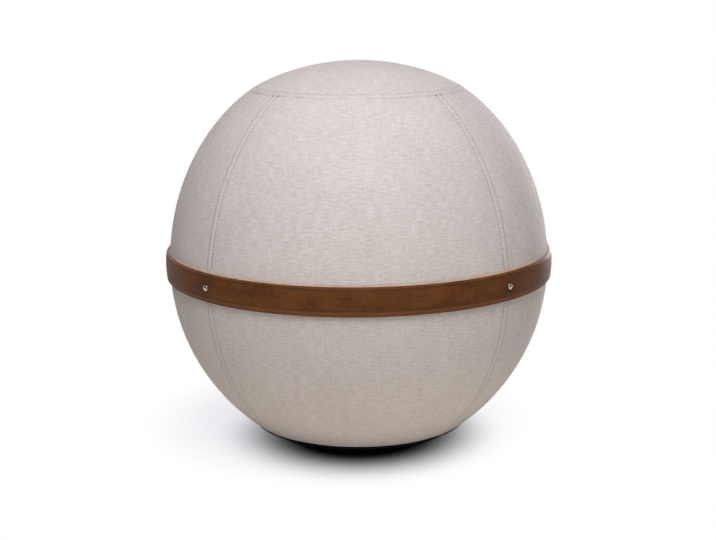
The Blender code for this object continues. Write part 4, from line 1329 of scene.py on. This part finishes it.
leave, _ = on_side(0, 0, BLADDER_LEAVE, BLADDER_DEPTH)
lower, _ = on_side(0, 0, BLADDER_LEAVE - TANGENT_STEP, BLADDER_DEPTH)
meeting = leave + (lower - leave) * ((BLADDER_FLOOR - leave.z) / (lower.z - leave.z))
rest = Vector((BLADDER_REST, 0, BLADDER_FLOOR))
bladder_line = [(BLADDER_HOLE + i / 10 * (BLADDER_REST - BLADDER_HOLE), BLADDER_FLOOR) for i in range(10)]
for i in range(16):
    share = i / 16
    bend = rest * (1 - share) ** 2 + meeting * (2 * share * (1 - share)) + leave * share**2
    bladder_line.append((bend.x, bend.z))
side_reach = SIDE_LENGTH - BLADDER_LEAVE - BLADDER_SHOULDER
for i in range(61):
    point, _ = on_side(0, 0, BLADDER_LEAVE + i / 60 * side_reach, BLADDER_DEPTH)
    bladder_line.append((point.x, point.z))
crown_reach = cap_reach - BLADDER_SHOULDER
for i in range(25):
    point, _ = on_cap(0, BLADDER_SHOULDER + i / 24 * crown_reach, BLADDER_DEPTH)
    bladder_line.append((max(point.x, 0.0), point.z))
vinyl = moulded("bladder_vinyl", shade(104, 106, 108), shade(134, 136, 137), roughness=0.4, speck=700.0)
bladder = swept("vinyl_bladder", bladder_line, 0, FULL_TURN, vinyl, columns=120)
thicken(bladder, BLADDER_WALL)
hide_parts("bladder")
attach(bladder, "ball")

# Valve
# A white plastic seat welded into the bladder's floor, and the ribbed plug that is pushed into it from
# below and drawn out to let the air in or out.
plastic = moulded("valve_plastic", shade(214, 214, 208), shade(234, 234, 229), roughness=0.35, speck=1200.0)
dress(plastic, "valve_seat", "valve_plug")

# Floor
# A plain pale studio floor that runs into a white backdrop. It keeps the ball's shadow, has a painted shadow
# that is dark where the ball stands, and a fainter painted half-shadow round that, a little to the left and
# behind.
FLOOR_HALF = 20.0
FLOOR_DROP = 0.5 * MM  # below the base panel
SHADOW_FORWARD = 0.05  # of the shadow's middle from the ball's
SHADOW_NARROW = 1.06  # how many times shorter it is from side to side than from front to back
SHADOW_START = 0.09  # from the shadow's middle to where it begins to fade
SHADOW_REACH = 0.14  # from there to where only the half-shadow is left
HALF_SHADOW_LEFT = 0.035
HALF_SHADOW_BACK = 0.02
HALF_SHADOW_START = 0.15
HALF_SHADOW_END = 0.3


def seen_directly(graph):
    """1 for rays from the camera and for those that metal and glass send on, else 0."""
    path = graph.node("ShaderNodeLightPath")
    seen = graph.maths("MAXIMUM", path["Is Camera Ray"], path["Is Glossy Ray"])
    return graph.maths("MAXIMUM", seen, path["Is Transmission Ray"])


def floor_distance(graph, left, forward, narrow=1.0):
    """How far a place on the floor is from a point there, with its distance to the side counted more."""
    place = graph.parts(graph.object_place())
    aside = (place["X"] + left) * narrow
    ahead = place["Y"] + forward
    return graph.maths("SQRT", aside * aside + ahead * ahead)


def floor_paint():
    """A painted shadow where the ball stands and a painted half-shadow round it, white far from it; light
    bounces off it as off a plain pale floor.
    """
    material, graph = new_material("floor_paint")
    from_shadow = floor_distance(graph, 0.0, SHADOW_FORWARD, SHADOW_NARROW)
    reach = (from_shadow - SHADOW_START) / SHADOW_REACH
    far = graph.rise(reach, 0.05, 1.0)
    foot = 1 - graph.rise(reach, 0.05, 1.1)
    # painted shadow: the floor's colour falls to near black where the ball stands
    wear_and_painted_light = graph.blend(foot, (0.97, 0.98, 1.0, 1.0), (0.02, 0.02, 0.02, 1.0))
    shadowed = graph.node("ShaderNodeBsdfDiffuse", sockets={"Color": wear_and_painted_light})
    # painted half-shadow: the white backdrop is a little greyer round the ball, to the left and behind
    from_half_shadow = floor_distance(graph, HALF_SHADOW_LEFT, -HALF_SHADOW_BACK)
    half_shadow = 1 - graph.rise(from_half_shadow, HALF_SHADOW_START, HALF_SHADOW_END)
    pale = graph.blend(half_shadow, (1.0, 1.0, 1.0, 1.0), shade(234, 233, 238))
    backdrop = graph.node("ShaderNodeEmission", sockets={"Color": pale, "Strength": 1.0})
    seen_floor = graph.node("ShaderNodeMixShader", sockets={0: far, 1: shadowed, 2: backdrop})
    bounce = graph.node("ShaderNodeBsdfDiffuse", sockets={"Color": (0.95, 0.92, 0.83, 1.0)})
    either_sockets = {0: seen_directly(graph), 1: bounce, 2: seen_floor}
    either = graph.node("ShaderNodeMixShader", sockets=either_sockets)
    graph.node("ShaderNodeOutputMaterial", sockets={"Surface": either})
    return material


corner_signs = ((-1, -1), (1, -1), (1, 1), (-1, 1))
corners = [(x * FLOOR_HALF, y * FLOOR_HALF, -FLOOR_DROP) for x, y in corner_signs]
floor_mesh = bpy.data.meshes.new("floor")
floor_mesh.from_pydata(corners, [], [(0, 1, 2, 3)])
floor_mesh.materials.append(floor_paint())
floor = new_object("floor", floor_mesh)

# Light
# A pale room whose camera side shows dark in metal, a large softbox over the front, a smaller one below it,
# a small one low on the right, and one behind on either side for the rims, the right one stronger.
ROOM_LEVEL = 0.03
SOFTBOX_DISTANCE = 2.2
world = bpy.data.worlds.new("room")
bpy.context.scene.world = world
world.use_nodes = True
graph = Graph(world.node_tree)
room = graph.node("ShaderNodeBackground", sockets={"Color": (1.0, 1.0, 1.0, 1.0), "Strength": ROOM_LEVEL})
direction = graph.parts(graph.node("ShaderNodeTexCoord", output="Generated"))
path = graph.node("ShaderNodeLightPath")
dark_side = path["Is Glossy Ray"] * graph.rise(-direction["Y"], -0.5, 0.1)
seen_room = graph.blend(dark_side, (1.0, 1.0, 1.0, 1.0), (0.03, 0.03, 0.03, 1.0))
backdrop = graph.node("ShaderNodeBackground", sockets={"Color": seen_room, "Strength": 1.0})
sky = graph.node("ShaderNodeMixShader", sockets={0: seen_directly(graph), 1: room, 2: backdrop})
graph.node("ShaderNodeOutputWorld", sockets={"Surface": sky})

ball_middle = Vector((0, 0, EQUATOR_HEIGHT))


def softbox(name, azimuth, elevation, size, power):
    """A square softbox that faces the ball; its angles are in degrees."""
    lamp = bpy.data.lights.new(name, "AREA")
    lamp.shape = "SQUARE"
    lamp.size = size
    lamp.energy = power
    lamp_object = new_object(name, lamp)
    tilt = math.radians(elevation)
    out = polar(math.cos(tilt), math.radians(azimuth), math.sin(tilt))
    lamp_object.location = ball_middle + out * SOFTBOX_DISTANCE
    lamp_object.rotation_euler = out.to_track_quat("Z", "Y").to_euler()


softbox("softbox_over", azimuth=-90, elevation=60, size=1.4, power=43.5)
softbox("softbox_front", azimuth=-88, elevation=36, size=0.9, power=7.0)
softbox("softbox_low", azimuth=-60, elevation=6, size=0.7, power=0.9)
softbox("softbox_back_right", azimuth=59, elevation=2, size=0.55, power=35.0)
softbox("softbox_back_left", azimuth=112, elevation=12, size=0.9, power=6.0)

bpy.context.scene.view_settings.view_transform = "Standard"

# Camera
# A little higher than the top of the ball and two metres from its middle, as the photograph was taken. It
# is turned, aimed and tilted a little, so that the outline and the seams fall where they do there.
CAMERA_DISTANCE = 1.994
CAMERA_ELEVATION = math.radians(11.96)
PICTURE_WIDTH = 716  # in pixels
CAMERA_FOCAL = 1369.5  # in pixels too
CAMERA_TURN = math.radians(0.5)  # to the right of the ball's front
AIM_LEFT = 0.88  # pixels from the ball's middle to the view's
AIM_DOWN = 14.73
CAMERA_ROLL = math.radians(0.44)
camera = bpy.data.cameras.new("camera")
camera.sensor_width = 36.0
camera.lens = CAMERA_FOCAL / PICTURE_WIDTH * camera.sensor_width
camera_object = new_object("camera", camera)
back = polar(math.cos(CAMERA_ELEVATION), CAMERA_TURN - QUARTER_TURN, math.sin(CAMERA_ELEVATION))
right = polar(1, CAMERA_TURN, 0)
view_up = back.cross(right)
camera_object.location = ball_middle + back * CAMERA_DISTANCE
pixel = CAMERA_DISTANCE / CAMERA_FOCAL
aim = ball_middle - view_up * (AIM_DOWN * pixel) - right * (AIM_LEFT * pixel)
look = (aim - camera_object.location).to_track_quat("-Z", "Y").to_matrix()
camera_object.rotation_euler = (look @ Matrix.Rotation(-CAMERA_ROLL, 3, "Z")).to_euler()
bpy.context.scene.camera = camera_object
